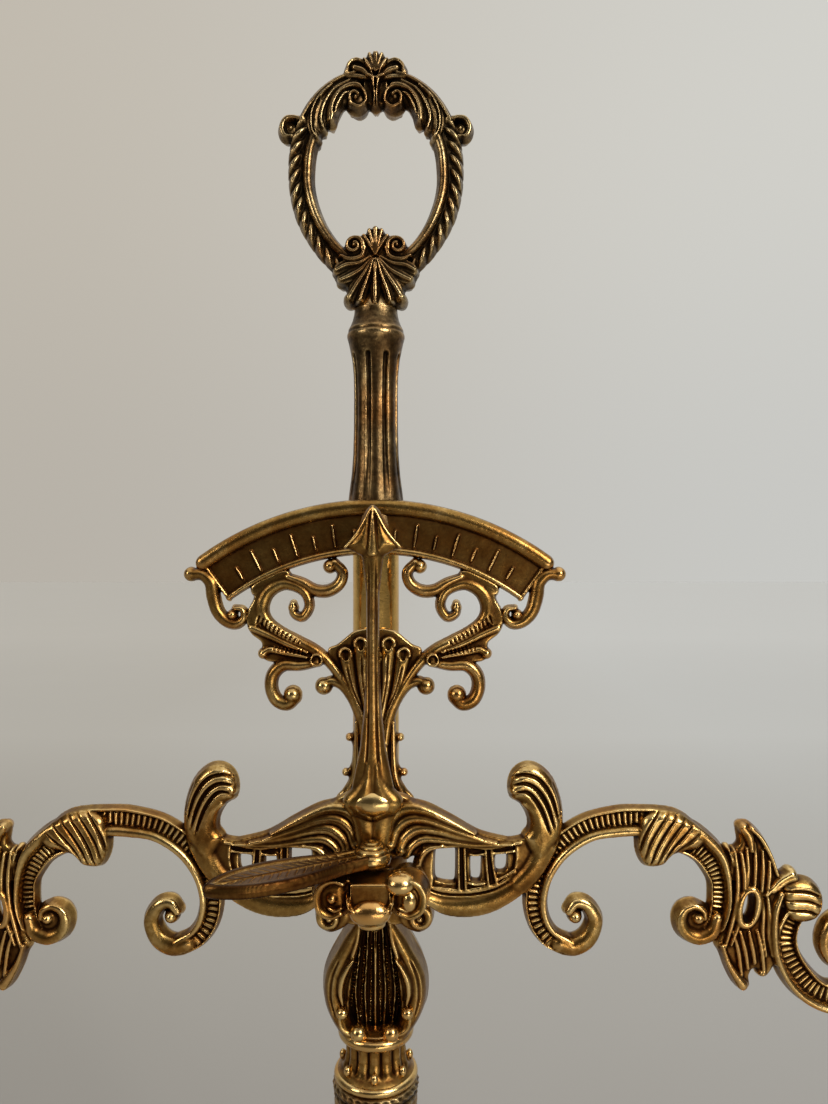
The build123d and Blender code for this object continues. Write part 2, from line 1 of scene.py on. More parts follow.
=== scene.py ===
# The looks of a decorative brass balance scale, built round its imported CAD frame.
# Cast pieces are made as reliefs: a height map in millimetres, both faces of it turned to one mesh.
# Turned pieces are lathe profiles with their flutes, beads and rings as geometry.
import json

import bpy
import numpy as np
import openvdb
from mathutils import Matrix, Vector


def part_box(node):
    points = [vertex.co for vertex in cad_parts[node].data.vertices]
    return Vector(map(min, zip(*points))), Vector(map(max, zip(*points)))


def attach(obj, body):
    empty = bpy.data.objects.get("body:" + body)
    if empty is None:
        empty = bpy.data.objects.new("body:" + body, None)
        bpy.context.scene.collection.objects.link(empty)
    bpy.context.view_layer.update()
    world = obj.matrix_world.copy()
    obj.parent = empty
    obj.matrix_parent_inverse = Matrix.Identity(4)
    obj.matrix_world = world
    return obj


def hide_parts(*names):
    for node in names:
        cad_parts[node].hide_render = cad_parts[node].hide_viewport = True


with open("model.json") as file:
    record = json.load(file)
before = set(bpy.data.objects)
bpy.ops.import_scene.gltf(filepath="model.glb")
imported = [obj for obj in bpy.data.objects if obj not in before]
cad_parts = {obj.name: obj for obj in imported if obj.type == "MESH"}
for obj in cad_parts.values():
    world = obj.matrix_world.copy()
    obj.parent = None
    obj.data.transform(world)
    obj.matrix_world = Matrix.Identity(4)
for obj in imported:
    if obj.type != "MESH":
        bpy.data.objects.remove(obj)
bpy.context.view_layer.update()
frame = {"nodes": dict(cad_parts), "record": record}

MM = 0.001
NO_METAL = -6.0  # the height of a relief where there is no casting
EDGE_SLOPE = 3.5  # how steeply a relief falls at its edges
STROKE_MARGIN = 2.5  # how far past its side a stroke still shapes the relief
FAR = 1e9  # stands for a distance that has not been measured
CORE = 8.0  # inside this radius the turned castings carry no ornament

# The scale's own places, in millimetres, read from the frame.
joints = {joint["name"]: np.array(joint["pos_m"]) / MM for joint in frame["record"]["behaviour"]["joints"]}
pivot, lever_axis = joints["beam_swing"], joints["lever_turn"]


def node_box(node):
    """A node's lowest and highest corners in millimetres."""
    low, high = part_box(node)
    return np.array(low) / MM, np.array(high) / MM


def middle_place(node, height):
    """The point on the column's axis at a height, level with the middle of a node's depth."""
    low, high = node_box(node)
    return np.array([0, (low[1] + high[1]) / 2, height])


def ring_turns(count, start=0.0):
    """Even turns round an axis."""
    return np.linspace(0, 2 * np.pi, count, endpoint=False) + start


def band(value, low, high, soft_low, soft_high=None):
    """One between two limits and zero past them, with soft ends."""
    return np.clip((value - low) / soft_low, 0, 1) * np.clip((high - value) / (soft_high or soft_low), 0, 1)


# ---------------------------------------------------------------- curves ----
def smooth_path(points, spacing=0.5):
    """A smooth curve through points, sampled evenly, with the length run at each sample."""
    points = np.asarray(points, float)
    ends = np.vstack([2 * points[0] - points[1], points, 2 * points[-1] - points[-2]])
    samples = []
    for start in range(len(points) - 1):
        a, b, c, d = ends[start : start + 4]
        steps = max(2, int(np.linalg.norm(c - b) / spacing))
        t = np.linspace(0, 1, steps, endpoint=False)[:, None]
        curve = 2 * b + (c - a) * t + (2 * a - 5 * b + 4 * c - d) * t**2 + (3 * b - a - 3 * c + d) * t**3
        samples.append(curve / 2)
    samples.append(points[-1:])
    path = np.vstack(samples)
    run = np.concatenate([[0], np.cumsum(np.linalg.norm(np.diff(path, axis=0), axis=1))])
    return path, run


def spiral(centre, radius_start, radius_end, angle_start, angle_end, count):
    """Points of a scroll that winds in or out between two radii, angles in degrees."""
    t = np.linspace(0, 1, count)
    radius = radius_start + (radius_end - radius_start) * t
    angle = np.radians(angle_start + (angle_end - angle_start) * t)
    return [(centre[0] + r * np.cos(a), centre[1] + r * np.sin(a)) for r, a in zip(radius, angle)]


# ---------------------------------------------------------------- profiles --
# A profile gives a stroke's height in millimetres. t runs from -1 to 1 across the stroke,
# run is the length along it, and share runs from 0 to 1 along it.
def half_round(t):
    """A half circle's height over a place from -1 to 1 across it."""
    return np.sqrt(np.clip(1 - t**2, 0, 1))


def rounded(height, base):
    """A plain half-round bar."""
    return lambda t, run, share: base + (height - base) * half_round(t)


def ridged(height, grooves, depth, base=0.0):
    """A rounded leaf with grooves that run along it."""

    def profile(t, run, share):
        crown = base + (height - base) * half_round(t)
        return crown - depth * (0.5 - 0.5 * np.cos(2 * np.pi * grooves * (t + 1) / 2)) ** 2

    return profile


def channel(rim, floor, rim_share, pitch, rib, fade=0.0):
    """Two round rims with a sunk floor between them, and ribs across the floor."""

    def profile(t, run, share):
        outer, inner = rim_share
        rim_outer = half_round((t - (1 - outer)) / outer)
        rim_inner = half_round((t + (1 - inner)) / inner)
        sunk = floor + rib * (0.5 + 0.5 * np.cos(2 * np.pi * run / pitch)) ** 0.7
        keep = np.clip((1 - share) / fade, 0, 1) if fade else 1.0
        sunk = rim * 0.9 + (sunk - rim * 0.9) * keep
        edge = floor * 0.6
        rims = np.maximum(edge + (rim - edge) * rim_outer, edge + (rim * 0.9 - edge) * rim_inner)
        between = (t < 1 - 2 * outer) & (t > 2 * inner - 1)
        return np.where(between, sunk, rims)

    return profile


def twisted(height, pitch, depth):
    """A rope: slanting strands round a half-round bar."""

    def profile(t, run, share):
        strand = 0.5 + 0.5 * np.cos(2 * np.pi * (run / pitch - 0.62 * t))
        return height * half_round(t) - depth * (1 - strand) ** 1.5

    return profile


# ---------------------------------------------------------------- relief ----
class Relief:
    """A casting's height over its upright middle plane, in millimetres, as a map over x and z."""

    def __init__(self, low, high, step):
        self.step = step
        self.x = np.arange(low[0], high[0] + step, step)
        self.z = np.arange(low[1], high[1] + step, step)
        self.height = np.full((len(self.x), len(self.z)), NO_METAL)

    def window(self, low, high, margin):
        """The slices of the map, and its coordinates, round a box."""
        i = np.searchsorted(self.x, [low[0] - margin, high[0] + margin])
        k = np.searchsorted(self.z, [low[1] - margin, high[1] + margin])
        area = (slice(i[0], i[1]), slice(k[0], k[1]))
        return area, self.x[area[0]][:, None], self.z[area[1]][None, :]

    def add(self, area, height, blend=0.0):
        """Raise the map to a new height, with a soft fillet where blend is over zero."""
        old = self.height[area]
        if blend:
            mix = np.clip(0.5 + 0.5 * (height - old) / blend, 0, 1)
            self.height[area] = old + (height - old) * mix + blend * mix * (1 - mix)
        else:
            self.height[area] = np.maximum(old, height)

    def measure(self, points, widths, margin):
        """For each place near a smooth stroke: t, run, share, distance past its side, and rank.

        Rank is the distance from the stroke's middle in half-widths.
        """
        path, run = smooth_path(points)
        half = np.interp(run / run[-1], np.linspace(0, 1, len(widths)), widths)
        reach = half.max() + margin
        area, x, z = self.window(path.min(axis=0), path.max(axis=0), reach)
        shape = self.height[area].shape
        best = np.full(shape, FAR)
        side, where, width = np.zeros(shape), np.zeros(shape), np.ones(shape)
        for start in range(len(path) - 1):
            a, b = path[start], path[start + 1]
            i = np.searchsorted(x[:, 0], [min(a[0], b[0]) - reach, max(a[0], b[0]) + reach])
            k = np.searchsorted(z[0], [min(a[1], b[1]) - reach, max(a[1], b[1]) + reach])
            part = (slice(i[0], i[1]), slice(k[0], k[1]))
            dx, dz = x[part[0]] - a[0], z[:, part[1]] - a[1]
            along = b - a
            length = np.hypot(*along) + 1e-9
            t = np.clip((dx * along[0] + dz * along[1]) / length**2, 0, 1)
            off = np.hypot(dx - along[0] * t, dz - along[1] * t)
            local_half = half[start] + (half[start + 1] - half[start]) * t
            rank = off / local_half
            closer = rank < best[part]
            cross = (along[0] * dz - along[1] * dx) / length
            best[part] = np.where(closer, rank, best[part])
            side[part] = np.where(closer, np.sign(cross) * off, side[part])
            where[part] = np.where(closer, run[start] + length * t, where[part])
            width[part] = np.where(closer, local_half, width[part])
        return area, side / width, where, where / run[-1], (best - 1) * width, best

    def stroke(self, points, widths, profile, blend=0.0):
        """A bar along a smooth curve. widths are half-widths, spread evenly along it."""
        area, t, run, share, past, rank = self.measure(points, widths, STROKE_MARGIN)
        inside = profile(np.clip(t, -1, 1), run, share)
        ground = np.maximum(self.height[area], 0)
        height = np.where(past < 0, np.minimum(inside, ground - past * EDGE_SLOPE), -past * EDGE_SLOPE)
        height = np.where(rank > FAR / 2, NO_METAL, height)
        self.add(area, np.maximum(height, NO_METAL), blend)

    def bar(self, points, widths, height, base=0.0, blend=0.0):
        """A half-round stroke."""
        self.stroke(points, widths, rounded(height, base), blend)

    def groove(self, points, widths, depth):
        """A round-bottomed groove cut along a smooth curve."""
        area, _, _, share, _, rank = self.measure(points, widths, 0.5)
        cut = np.where(rank < 1, depth * (1 - np.clip(rank, 0, 1) ** 2) ** 1.5, 0)
        cut = cut * np.clip(np.minimum(share, 1 - share) * 12, 0.15, 1)
        old = self.height[area]
        self.height[area] = np.where(old > 0, np.maximum(old - cut, 0.5), old)

    def ball(self, centre, radius, height, blend=0.0):
        """A round boss."""
        area, x, z = self.window(np.array(centre), np.array(centre), radius + 2)
        off = np.hypot(x - centre[0], z - centre[1])
        dome = height * half_round(off / radius)
        self.add(area, np.where(off < radius, dome, (radius - off) * EDGE_SLOPE), blend)

    def outside(self, outline, smooth=True):
        """The distance outside a closed outline, negative inside it, over its part of the map."""
        points = np.asarray(outline, float)
        if smooth:
            points = smooth_path(np.vstack([points, points[:1]]), 1.0)[0][:-1]
        area, x, z = self.window(points.min(axis=0), points.max(axis=0), 3)
        nearest = np.full(self.height[area].shape, FAR)
        inside = np.zeros(nearest.shape, bool)
        for a, b in zip(points, np.roll(points, -1, axis=0)):
            along = b - a
            dx, dz = x - a[0], z - a[1]
            t = np.clip((dx * along[0] + dz * along[1]) / (along @ along + 1e-9), 0, 1)
            nearest = np.minimum(nearest, np.hypot(dx - along[0] * t, dz - along[1] * t))
            crosses = (a[1] > z) != (b[1] > z)
            at = a[0] + dz * along[0] / (along[1] + (abs(along[1]) < 1e-9) * 1e-9)
            inside ^= crosses & (x < at)
        return area, np.where(inside, -nearest, nearest)

    def plate(self, outline, height, round_over=2.0, smooth=True, blend=0.0):
        """A flat-topped piece with a rolled edge, inside a closed outline."""
        area, past = self.outside(outline, smooth)
        roll = np.clip(-past / round_over, 0, 1)
        top = height * half_round(1 - roll)
        self.add(area, np.where(past < 0, np.minimum(top, -past * EDGE_SLOPE), -past * EDGE_SLOPE), blend)

    def sink(self, outline, height, smooth=True):
        """Lower the map to a flat floor inside a closed outline."""
        area, past = self.outside(outline, smooth)
        floor = height + np.maximum(past + 0.6, 0) * EDGE_SLOPE
        old = self.height[area]
        self.height[area] = np.where(old > 0, np.minimum(old, floor), old)

    def pierce(self, outline):
        """Cut a window right through."""
        area, past = self.outside(outline)
        self.height[area] = np.minimum(self.height[area], past * EDGE_SLOPE)

    def solid(self, place=(0, 0, 0), mirror=True, back=(20.0, 0.0)):
        """The vertices and faces of the casting at its place, mirrored about x = 0.

        back is the height up to which the back is as high as the front, and the share kept above that.
        """
        height, low_x = self.height, self.x[0]
        if mirror:
            skip = int(round(-self.x[0] / self.step))
            half = height[skip:]
            height = np.vstack([half[:0:-1], half])
            low_x = -(len(half) - 1) * self.step
        reach = height.max() + 3 * self.step
        y = np.arange(-reach, reach + self.step, self.step)
        level, share = back
        behind = np.where(height > level, level + share * (height - level), height)
        y_line = y[None, :, None]
        field = np.where(y_line < 0, -y_line - height[:, None, :], y_line - behind[:, None, :])
        limit = 3 * self.step * EDGE_SLOPE
        field = np.clip(field, -limit, limit)
        points, quads = mesh_field(field)
        return points * self.step + [low_x, y[0], self.z[0]] + np.array(place), quads


def mesh_field(field):
    """The zero surface of a field of samples, in units of its cells."""
    grid = openvdb.FloatGrid()
    grid.background = float(field.max())
    grid.copyFromArray(field.astype(np.float32))
    points, quads = grid.convertToQuads()
    return points.astype(float), quads


# ---------------------------------------------------------------- meshes ----
def relax(points, quads, rounds, weight=0.5):
    """Soften a mesh by moving each vertex towards the mean of its neighbours."""
    edges = np.vstack([quads[:, [0, 1]], quads[:, [1, 2]], quads[:, [2, 3]], quads[:, [3, 0]]])
    count = np.bincount(edges.ravel(), minlength=len(points))[:, None]
    for _ in range(rounds):
        total = np.zeros_like(points)
        for axis in range(3):
            total[:, axis] = np.bincount(edges[:, 0], points[edges[:, 1], axis], len(points))
            total[:, axis] += np.bincount(edges[:, 1], points[edges[:, 0], axis], len(points))
        points = points + weight * (total / np.maximum(count, 1) - points)
    return points


def hollows(points, quads, rounds):
    """How deep each vertex lies below its softened surroundings, in millimetres, hollows positive."""
    a, b, c = points[quads[:, 0]], points[quads[:, 1]], points[quads[:, 2]]
    face_normal = np.cross(b - a, c - a)
    normal = np.zeros_like(points)
    for corner in range(4):
        for axis in range(3):
            normal[:, axis] += np.bincount(quads[:, corner], face_normal[:, axis], len(points))
    normal /= np.linalg.norm(normal, axis=1)[:, None] + 1e-12
    return np.einsum("ij,ij->i", relax(points, quads, rounds, 0.8) - points, normal)


def build(name, node, parts, slot, body="base", soften=1, cavity=(6, 40)):
    """One mesh object in metres from (points, quads) parts in millimetres, in place of a CAD node.

    soften is how many times the mesh is relaxed. cavity holds how far the fine and the broad hollows reach.
    """
    starts = np.cumsum([0] + [len(points) for points, _ in parts])
    points = np.vstack([points for points, _ in parts])
    quads = np.vstack([quads + start for start, (_, quads) in zip(starts, parts)])
    if soften:
        points = relax(points, quads, soften)
    mesh = bpy.data.meshes.new(name)
    mesh.vertices.add(len(points))
    mesh.vertices.foreach_set("co", (points * MM).astype(np.float32).ravel())
    mesh.loops.add(quads.size)
    mesh.loops.foreach_set("vertex_index", quads.astype(np.int32).ravel())
    mesh.polygons.add(len(quads))
    mesh.polygons.foreach_set("loop_start", np.arange(0, quads.size, 4, dtype=np.int32))
    mesh.polygons.foreach_set("use_smooth", np.ones(len(quads), bool))
    # These hollow depths drive the brass colour: patina and painted shade in the hollows, a painted highlight
    # on high edges.
    for label, rounds in zip(("fine_hollow", "broad_hollow"), cavity):
        layer = mesh.attributes.new(label, "FLOAT", "POINT")
        layer.data.foreach_set("value", hollows(points, quads, rounds).astype(np.float32))
    mesh.update(calc_edges=True)
    mesh.validate()
    mesh.materials.append(FINISHES[slot])
    piece = link(name, mesh)
    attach(piece, body)
    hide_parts(node)


def link(name, data):
    """A new object in the scene."""
    thing = bpy.data.objects.new(name, data)
    bpy.context.scene.collection.objects.link(thing)
    return thing


def lathe(profile, radius_at=None, around=192):
    """A turned piece about the Z axis. profile is (radius, z) points; radius_at may shape it."""
    profile = np.asarray(profile, float)
    angle = ring_turns(around)
    radius = np.repeat(profile[:, 0][:, None], around, axis=1)
    height = np.repeat(profile[:, 1][:, None], around, axis=1)
    if radius_at is not None:
        radius = radius_at(radius, height, angle[None, :])
    points = np.stack([radius * np.cos(angle), radius * np.sin(angle), height], axis=2).reshape(-1, 3)
    rows, columns = np.meshgrid(np.arange(len(profile) - 1), np.arange(around), indexing="ij")
    following = (columns + 1) % around
    quads = [rows * around + columns, rows * around + following]
    quads += [(rows + 1) * around + following, (rows + 1) * around + columns]
    wrap = np.arange(around)
    last = (len(profile) - 1) * around
    join = [last + wrap, last + (wrap + 1) % around, (wrap + 1) % around, wrap]
    return points, np.vstack([np.stack(quads, axis=2).reshape(-1, 4), np.stack(join, axis=1)])


def outside_bore(shape):
    """A shaping of a turned piece that leaves its bore as it is."""
    return lambda radius, height, angle: np.where(radius > CORE, shape(radius, height, angle), radius)


def dense(profile, spacing=0.5):
    """A profile's corner points with even samples added between them."""
    samples = []
    for a, b in zip(profile[:-1], profile[1:]):
        steps = max(1, int(np.hypot(b[0] - a[0], b[1] - a[1]) / spacing))
        t = np.linspace(0, 1, steps, endpoint=False)[:, None]
        samples.append(np.array(a) * (1 - t) + np.array(b) * t)
    samples.append(np.array([profile[-1]]))
    return np.vstack(samples)


# ---------------------------------------------------------------- beam ------
# Heights in the beam are measured from the pivot, and only its right half is drawn.
def make_beam():
    """The cast beam: acanthus shoulders, a pierced gallery, a plume and three ribbed scrolls."""
    relief = Relief((-1.5, -82), (198, 20), step=0.42)
    for draw in (first_scroll, second_scroll, end_scroll, cartouche, gallery, plume, shoulder):
        draw(relief)
    casting = relief.solid(middle_place("beam", pivot[2]), back=(2.2, 0.25))
    build("beam_casting", "beam", [casting], "gilt_brass", "beam")


def first_scroll(relief):
    """The ribbed scroll beside the gallery, with its curled-in end."""
    path = [
        (120, -10.4), (112, -5.2), (100, -4.6), (91, -5), (80, -7.4), (70, -14), (63.5, -23), (60.8, -33),
        (62, -41.6), (66, -47.6), (71.5, -50.6),
    ]
    widths = [4.2, 5.4, 6.0, 6.1, 5.6, 5.4, 5.2, 5.0, 4.8, 4.5, 4.2]
    relief.stroke(path, widths, channel(4.2, 0.9, (0.42, 0.2), 2.1, 1.3, fade=0.1))
    volute = [(70, -50), (75, -51), (80.2, -48), (82.8, -41.4), (80, -35.8), (75.8, -34.6), (73, -37.6)]
    relief.bar(volute, [3.9, 4.2, 4.0, 3.7, 3.3, 2.9, 2.4], 4.6, 0.8, 1.0)
    relief.ball((75.4, -39.8), 2.9, 5.2, 0.6)


def leaf_pad(relief, outline, height, creases, depth, width):
    """A rounded leaf with creases cut along it, every second one fainter."""
    relief.plate(outline, height, 4.2, blend=0.8)
    for count, crease in enumerate(creases):
        share = 0.62 if count % 2 else 1.0
        relief.groove(crease, [width * 0.4, width, width * 1.1, width * 0.5], depth * share)


def second_scroll(relief):
    """The ribbed scroll that hangs from the leaf pad at the top of the arm."""
    path = [
        (116.4, -11.6), (120.4, -13.4), (125, -17.5), (128.8, -25), (129.2, -33), (128, -40), (125, -45.6),
    ]
    relief.stroke(path, [5.6, 5.4, 5, 4.3, 4, 3.8, 3.4], channel(4.2, 0.9, (0.3, 0.22), 1.8, 1.2), 0.2)
    rim = [
        (106, -3), (112.4, -3.8), (119.4, -7), (126, -12.4), (130.2, -18), (132.2, -26), (132.4, -36),
        (129.5, -45),
    ]
    relief.bar(rim, [1.6, 2.4, 2.9, 2.9, 2.2, 1.7, 1.5, 1.2], 5.2, 0.6, 0.6)
    relief.ball((120.2, -41.2), 7.2, 3.6)
    coil = [
        (128, -40), (126.2, -45.4), (121.2, -47.6), (116.2, -45.4), (114.4, -41), (115.8, -37),
        (119.4, -35.4), (122.6, -37), (123.2, -39.8),
    ]
    relief.bar(coil, [2.4, 3.0, 3.3, 3.3, 3.1, 2.8, 2.3, 1.9, 1.4], 5.2, 1.6, 0.6)
    relief.ball((121, -40.2), 2.8, 5.6, 0.8)
    outline = [
        (97.8, -9.4), (99.4, -2.8), (104, 0.4), (110, 0.7), (116, -1.6), (121.6, -6.2), (124.4, -11),
        (121, -15), (115.4, -16), (111.2, -18.2), (108.8, -20.8), (104.8, -21.8), (101, -21.2),
        (98.6, -17.4), (97.8, -13),
    ]
    creases = [
        [(106.6, 0.2), (103.4, -4.4), (100.6, -10), (99.2, -15)],
        [(110.2, 0), (106.4, -5.6), (102.6, -12.4), (100.6, -18.8)],
        [(113.4, -1), (109.4, -6.6), (105.4, -13.6), (102.8, -20.4)],
        [(116.4, -2.6), (112.2, -8), (107.9, -14.6), (105.2, -20.6)],
        [(119, -4.8), (114.8, -9.6), (110.4, -15), (108, -19.4)],
        [(121.6, -7.6), (117.6, -11.2), (113.2, -14.8), (110.8, -17.6)],
    ]
    leaf_pad(relief, outline, 5.6, creases, 1.1, 0.75)


def end_scroll(relief):
    """The outer scroll, from its leaf cap round to the beam's end."""
    path = [
        (157.4, -38), (154, -46), (154.6, -54), (159, -62), (165, -68), (172, -70), (181, -68),
        (188, -60.5), (189.4, -51), (185, -43.5),
    ]
    widths = [4.0, 4.8, 5.4, 5.8, 5.9, 5.9, 5.4, 4.8, 4.2, 3.6]
    relief.stroke(path, widths, channel(4.3, 1.0, (0.22, 0.34), 2.2, 1.0, fade=0.25))
    volute = [
        (189, -52), (186, -43.5), (178, -39.6), (170.6, -43), (168.2, -50.5), (171.5, -57), (178, -57.5),
    ]
    relief.bar(volute, [4.0, 3.8, 3.5, 3.2, 3.0, 2.6, 2.0], 4.4, blend=0.5)
    relief.ball((177.4, -54.4), 2.8, 5.0, 0.4)
    relief.bar([(186, -64), (188, -69.5), (188, -75)], [3.2, 3.0, 3.0], 3.2, 1.6)
    relief.ball((188, -75), 4.6, 3.4)
    leaf = [
        (151.6, -27), (156.6, -25), (163.4, -25.8), (167.6, -30.4), (168, -36), (165.6, -40.6),
        (160.4, -42.4), (155.4, -41.4), (152.6, -36),
    ]
    creases = [
        [(151.6, -30.4), (156, -29.6), (161.6, -30), (166.4, -32)],
        [(152.2, -33.6), (157, -33.2), (162, -33.6), (167, -35.6)],
        [(153, -37), (157.6, -36.8), (162, -37.2), (165.4, -39)],
    ]
    leaf_pad(relief, leaf, 5.4, creases, 1.3, 0.8)


def cartouche(relief):
    """The reeded shield between the scrolls, with its ringed hole."""
    body = [
        (132.8, -15), (136.2, -12.6), (135.8, -8), (136.8, -4.8), (140, -4.2), (143.6, -7), (147, -11.6),
        (150, -18.6), (152, -23.4), (156, -22), (158.6, -24.5), (155, -30), (151.5, -34), (150.6, -44),
        (151.5, -54), (148.5, -61), (145.6, -63), (142.6, -59.6), (140.8, -62), (141, -66), (138.2, -67.8),
        (134.6, -65.4), (131.6, -60), (129.4, -54), (127.4, -49.5), (131, -42), (133.6, -32), (133.8, -22),
    ]
    relief.plate(body, 3.0, 2.0)
    for shift, top, bottom in ((-0.6, -14.5, -52), (2.0, -16, -50)):
        path = [(135 + shift, top), (136.2 + shift, -25), (135.8 + shift, -34), (134 + shift, -42)]
        relief.bar(path + [(131 + shift, bottom)], [0.8, 1.2, 1.25, 1.2, 0.7], 4.5, 2.2, 0.25)
    relief.bar([(137.6, -6.4), (140, -10), (140.8, -15)], [2.0, 1.9, 1.0], 4.8, 2.4, 0.4)
    relief.bar([(140.6, -6.6), (144.4, -10.4), (148, -17), (150.4, -24)], [1.1, 1.2, 1.1, 0.9], 4.7, 2.6, 0.3)
    strands = ((139, -14, 139.2), (142, -12, 141.8), (144.8, -15, 144.6), (147.4, -19, 146.8))
    for x_top, z_top, x_low in strands:
        path = [(x_top, z_top), ((x_top + x_low) / 2 + 0.4, (z_top - 29) / 2), (x_low, -30)]
        relief.bar(path, [0.6, 1.0, 0.7], 4.3, 2.4, 0.3)
    relief.bar([(132.2, -14.4), (133.4, -19), (134, -26)], [1.5, 1.2, 0.8], 4.4, 2.4, 0.3)
    for shift in (0, 2.2):
        path = [(144.4 + shift, -31), (145.2 + shift, -38), (145 + shift, -46), (146.2 + shift, -54)]
        relief.bar(path, [0.7, 0.95, 0.95, 0.6], 4.2, 2.4, 0.3)
    for shift in (0, 2.4):
        path = [(146.2 + shift, -31.4 + shift * 0.5), (151 + shift, -26.4)]
        path.append((155.4 + shift * 0.6, -23.6 - shift * 0.6))
        relief.bar(path, [0.9, 1.2, 1.6], 4.7, 2.4, 0.2)
    relief.ball((156, -24), 2.4, 4.8, 0.3)
    turns = np.linspace(0, 2 * np.pi, 17)
    ring = [(139.6 + 3.4 * np.cos(a) + 1.2 * np.sin(a), -36 + 6.6 * np.sin(a)) for a in turns]
    relief.bar(ring, [1.7], 5.0, 2.6, 0.4)
    hole = [(139.6 + 1.0 * np.cos(a) + 0.6 * np.sin(a), -36 + 4.4 * np.sin(a)) for a in turns[:-1]]
    relief.pierce(hole)
    rim = [
        (151.8, -31), (149.6, -38), (149.2, -47), (150.4, -55), (154.5, -63.5), (161, -70), (170.7, -74.2),
        (180, -73), (188, -68.4),
    ]
    relief.bar(rim, [1.6, 2.0, 2.0, 2.0, 2.1, 2.1, 2.0, 1.8, 1.4], 5.2, 1.0, 0.4)
    strands = ((133.8, 137, -61), (136.6, 139.4, -58.6), (139.8, 142, -56.6), (143, 145.4, -60))
    for x_top, x_low, z_low in strands:
        path = [(x_top, -45), ((x_top + x_low) / 2 + 0.4, -52), (x_low, z_low)]
        relief.bar(path, [0.7, 1.05, 0.9], 4.3, 2.4, 0.3)
    relief.bar([(129.8, -50), (132.4, -57.4), (137.4, -65)], [0.9, 1.5, 2.3], 4.9, 2.4, 0.4)
    relief.ball((144.8, -60.6), 1.8, 4.5, 0.4)


def gallery(relief):
    """The boat-shaped lower part with its three framed windows and paired glazing bars."""
    boat = [
        (18, 0), (28, -3.4), (38, -8.2), (47, -10.6), (55, -10), (60, -6.4), (67, -6), (70.5, -9),
        (68.6, -16), (64.4, -22.8), (57.6, -29.6), (49.5, -35.4), (41.5, -39.3), (33, -40.3), (26, -39),
        (20.6, -35.5), (17.6, -30), (17.4, -18),
    ]
    relief.plate(boat, 3.6, 1.6)
    recess = [
        (22.8, -14), (32, -13.4), (44, -14), (54.4, -12.6), (54, -22.6), (47, -27.4), (34, -30),
        (22, -28.6),
    ]
    relief.sink(recess, 2.4, smooth=False)
    windows = (
        [
            (24.2, -15.2), (30.2, -15), (30.7, -16), (30.5, -25.6), (29.6, -27), (25, -26.4), (23.4, -24.6),
            (23.6, -16),
        ],
        [
            (37.2, -17.6), (39.8, -17.5), (40.3, -18.2), (40, -25.2), (39, -26.3), (37.4, -26), (36.8, -25),
            (36.7, -18.3),
        ],
        [
            (46.4, -17.2), (49.2, -16.8), (49.9, -17.8), (49.6, -21.6), (48.6, -22.8), (46.6, -22.8),
            (46, -21.6), (46, -18),
        ],
    )
    for window in windows:
        relief.pierce(window)
    bars = (
        [(31.9, -14), (32.0, -22), (32.2, -29.6)],
        [(34.2, -14.4), (34.4, -22), (34.7, -29.6)],
        [(42.0, -14.6), (42.4, -21), (43.2, -28.4)],
        [(44.2, -14.6), (44.9, -21), (46.2, -27.4)],
        [(53.6, -13.6), (53.6, -18), (52.8, -23)],
        [(36.4, -16.6), (38.6, -16.7), (41, -16.4)],
        [(45.2, -16), (48.4, -15.8), (52.6, -15.2)],
        [(36, -27.2), (38.6, -27.6), (41.6, -27.2)],
        [(46, -26), (49, -24.6), (52.4, -22.6)],
    )
    for bar in bars:
        relief.bar(bar, [0.8, 0.7, 0.8], 3.9, 2.2, 0.15)
    relief.bar([(21, -13.8), (32, -13.2), (43, -14), (55, -12)], [0.9, 0.8, 0.8, 0.7], 4.3, 2.4, 0.2)
    seam = [(19.2, -28.6), (26, -31), (36, -31.4), (46, -29.2), (53.6, -24.6)]
    relief.groove(seam, [0.5, 0.6, 0.6, 0.5, 0.4], 1.2)
    hull = [(19.4, -32.4), (26, -35.6), (35, -36.2), (44, -34.4), (52.4, -29.8), (60, -22.6), (65.4, -13.6)]
    relief.bar(hull, [2.0, 3.6, 4.0, 4.0, 3.8, 3.6, 3.2], 4.9, 2.6, 0.6)


def plume(relief):
    """The curled leaf that stands up from the gallery's outer end."""
    outline = [
        (66.5, -16.5), (70.2, -10.5), (71.4, -4), (70.4, 4), (67.2, 12), (61.8, 17), (56.4, 17.6),
        (52, 14.6), (50.2, 9.4), (51.2, 4), (54.6, 2), (57.2, -2.4), (57.6, -6.4), (55.4, -10), (58, -16),
        (62, -20),
    ]
    relief.plate(outline, 5.6, 4.8)
    body = [(54, -27), (59.4, -21.6), (63, -13.6), (62.6, -6), (60.2, -0.6), (56.4, 2.8)]
    relief.bar(body, [3.2, 3.8, 3.8, 3.0, 2.4, 1.6], 5.2, 1.8, 1.0)
    creases = (
        ([(51.4, 12.2), (56, 13.6), (61.4, 12), (66, 6), (69, -3.6)], 0.85, 1.4),
        ([(51.6, 9.4), (56.6, 10.4), (61.2, 7.8), (64.8, 2), (67.6, -6.6)], 0.85, 1.35),
        ([(52.4, 6.8), (57, 7.2), (60.4, 4.2), (63.2, -0.8), (65.8, -8.4)], 0.8, 1.2),
        ([(66.6, 11), (69.2, 4), (70, -3)], 0.5, 0.9),
    )
    for path, width, depth in creases:
        relief.groove(path, [width * 0.7, width * 1.2, width * 1.2, width, width * 0.5], depth)
    relief.ball((52.6, 7.4), 2.2, 5.4, 0.6)


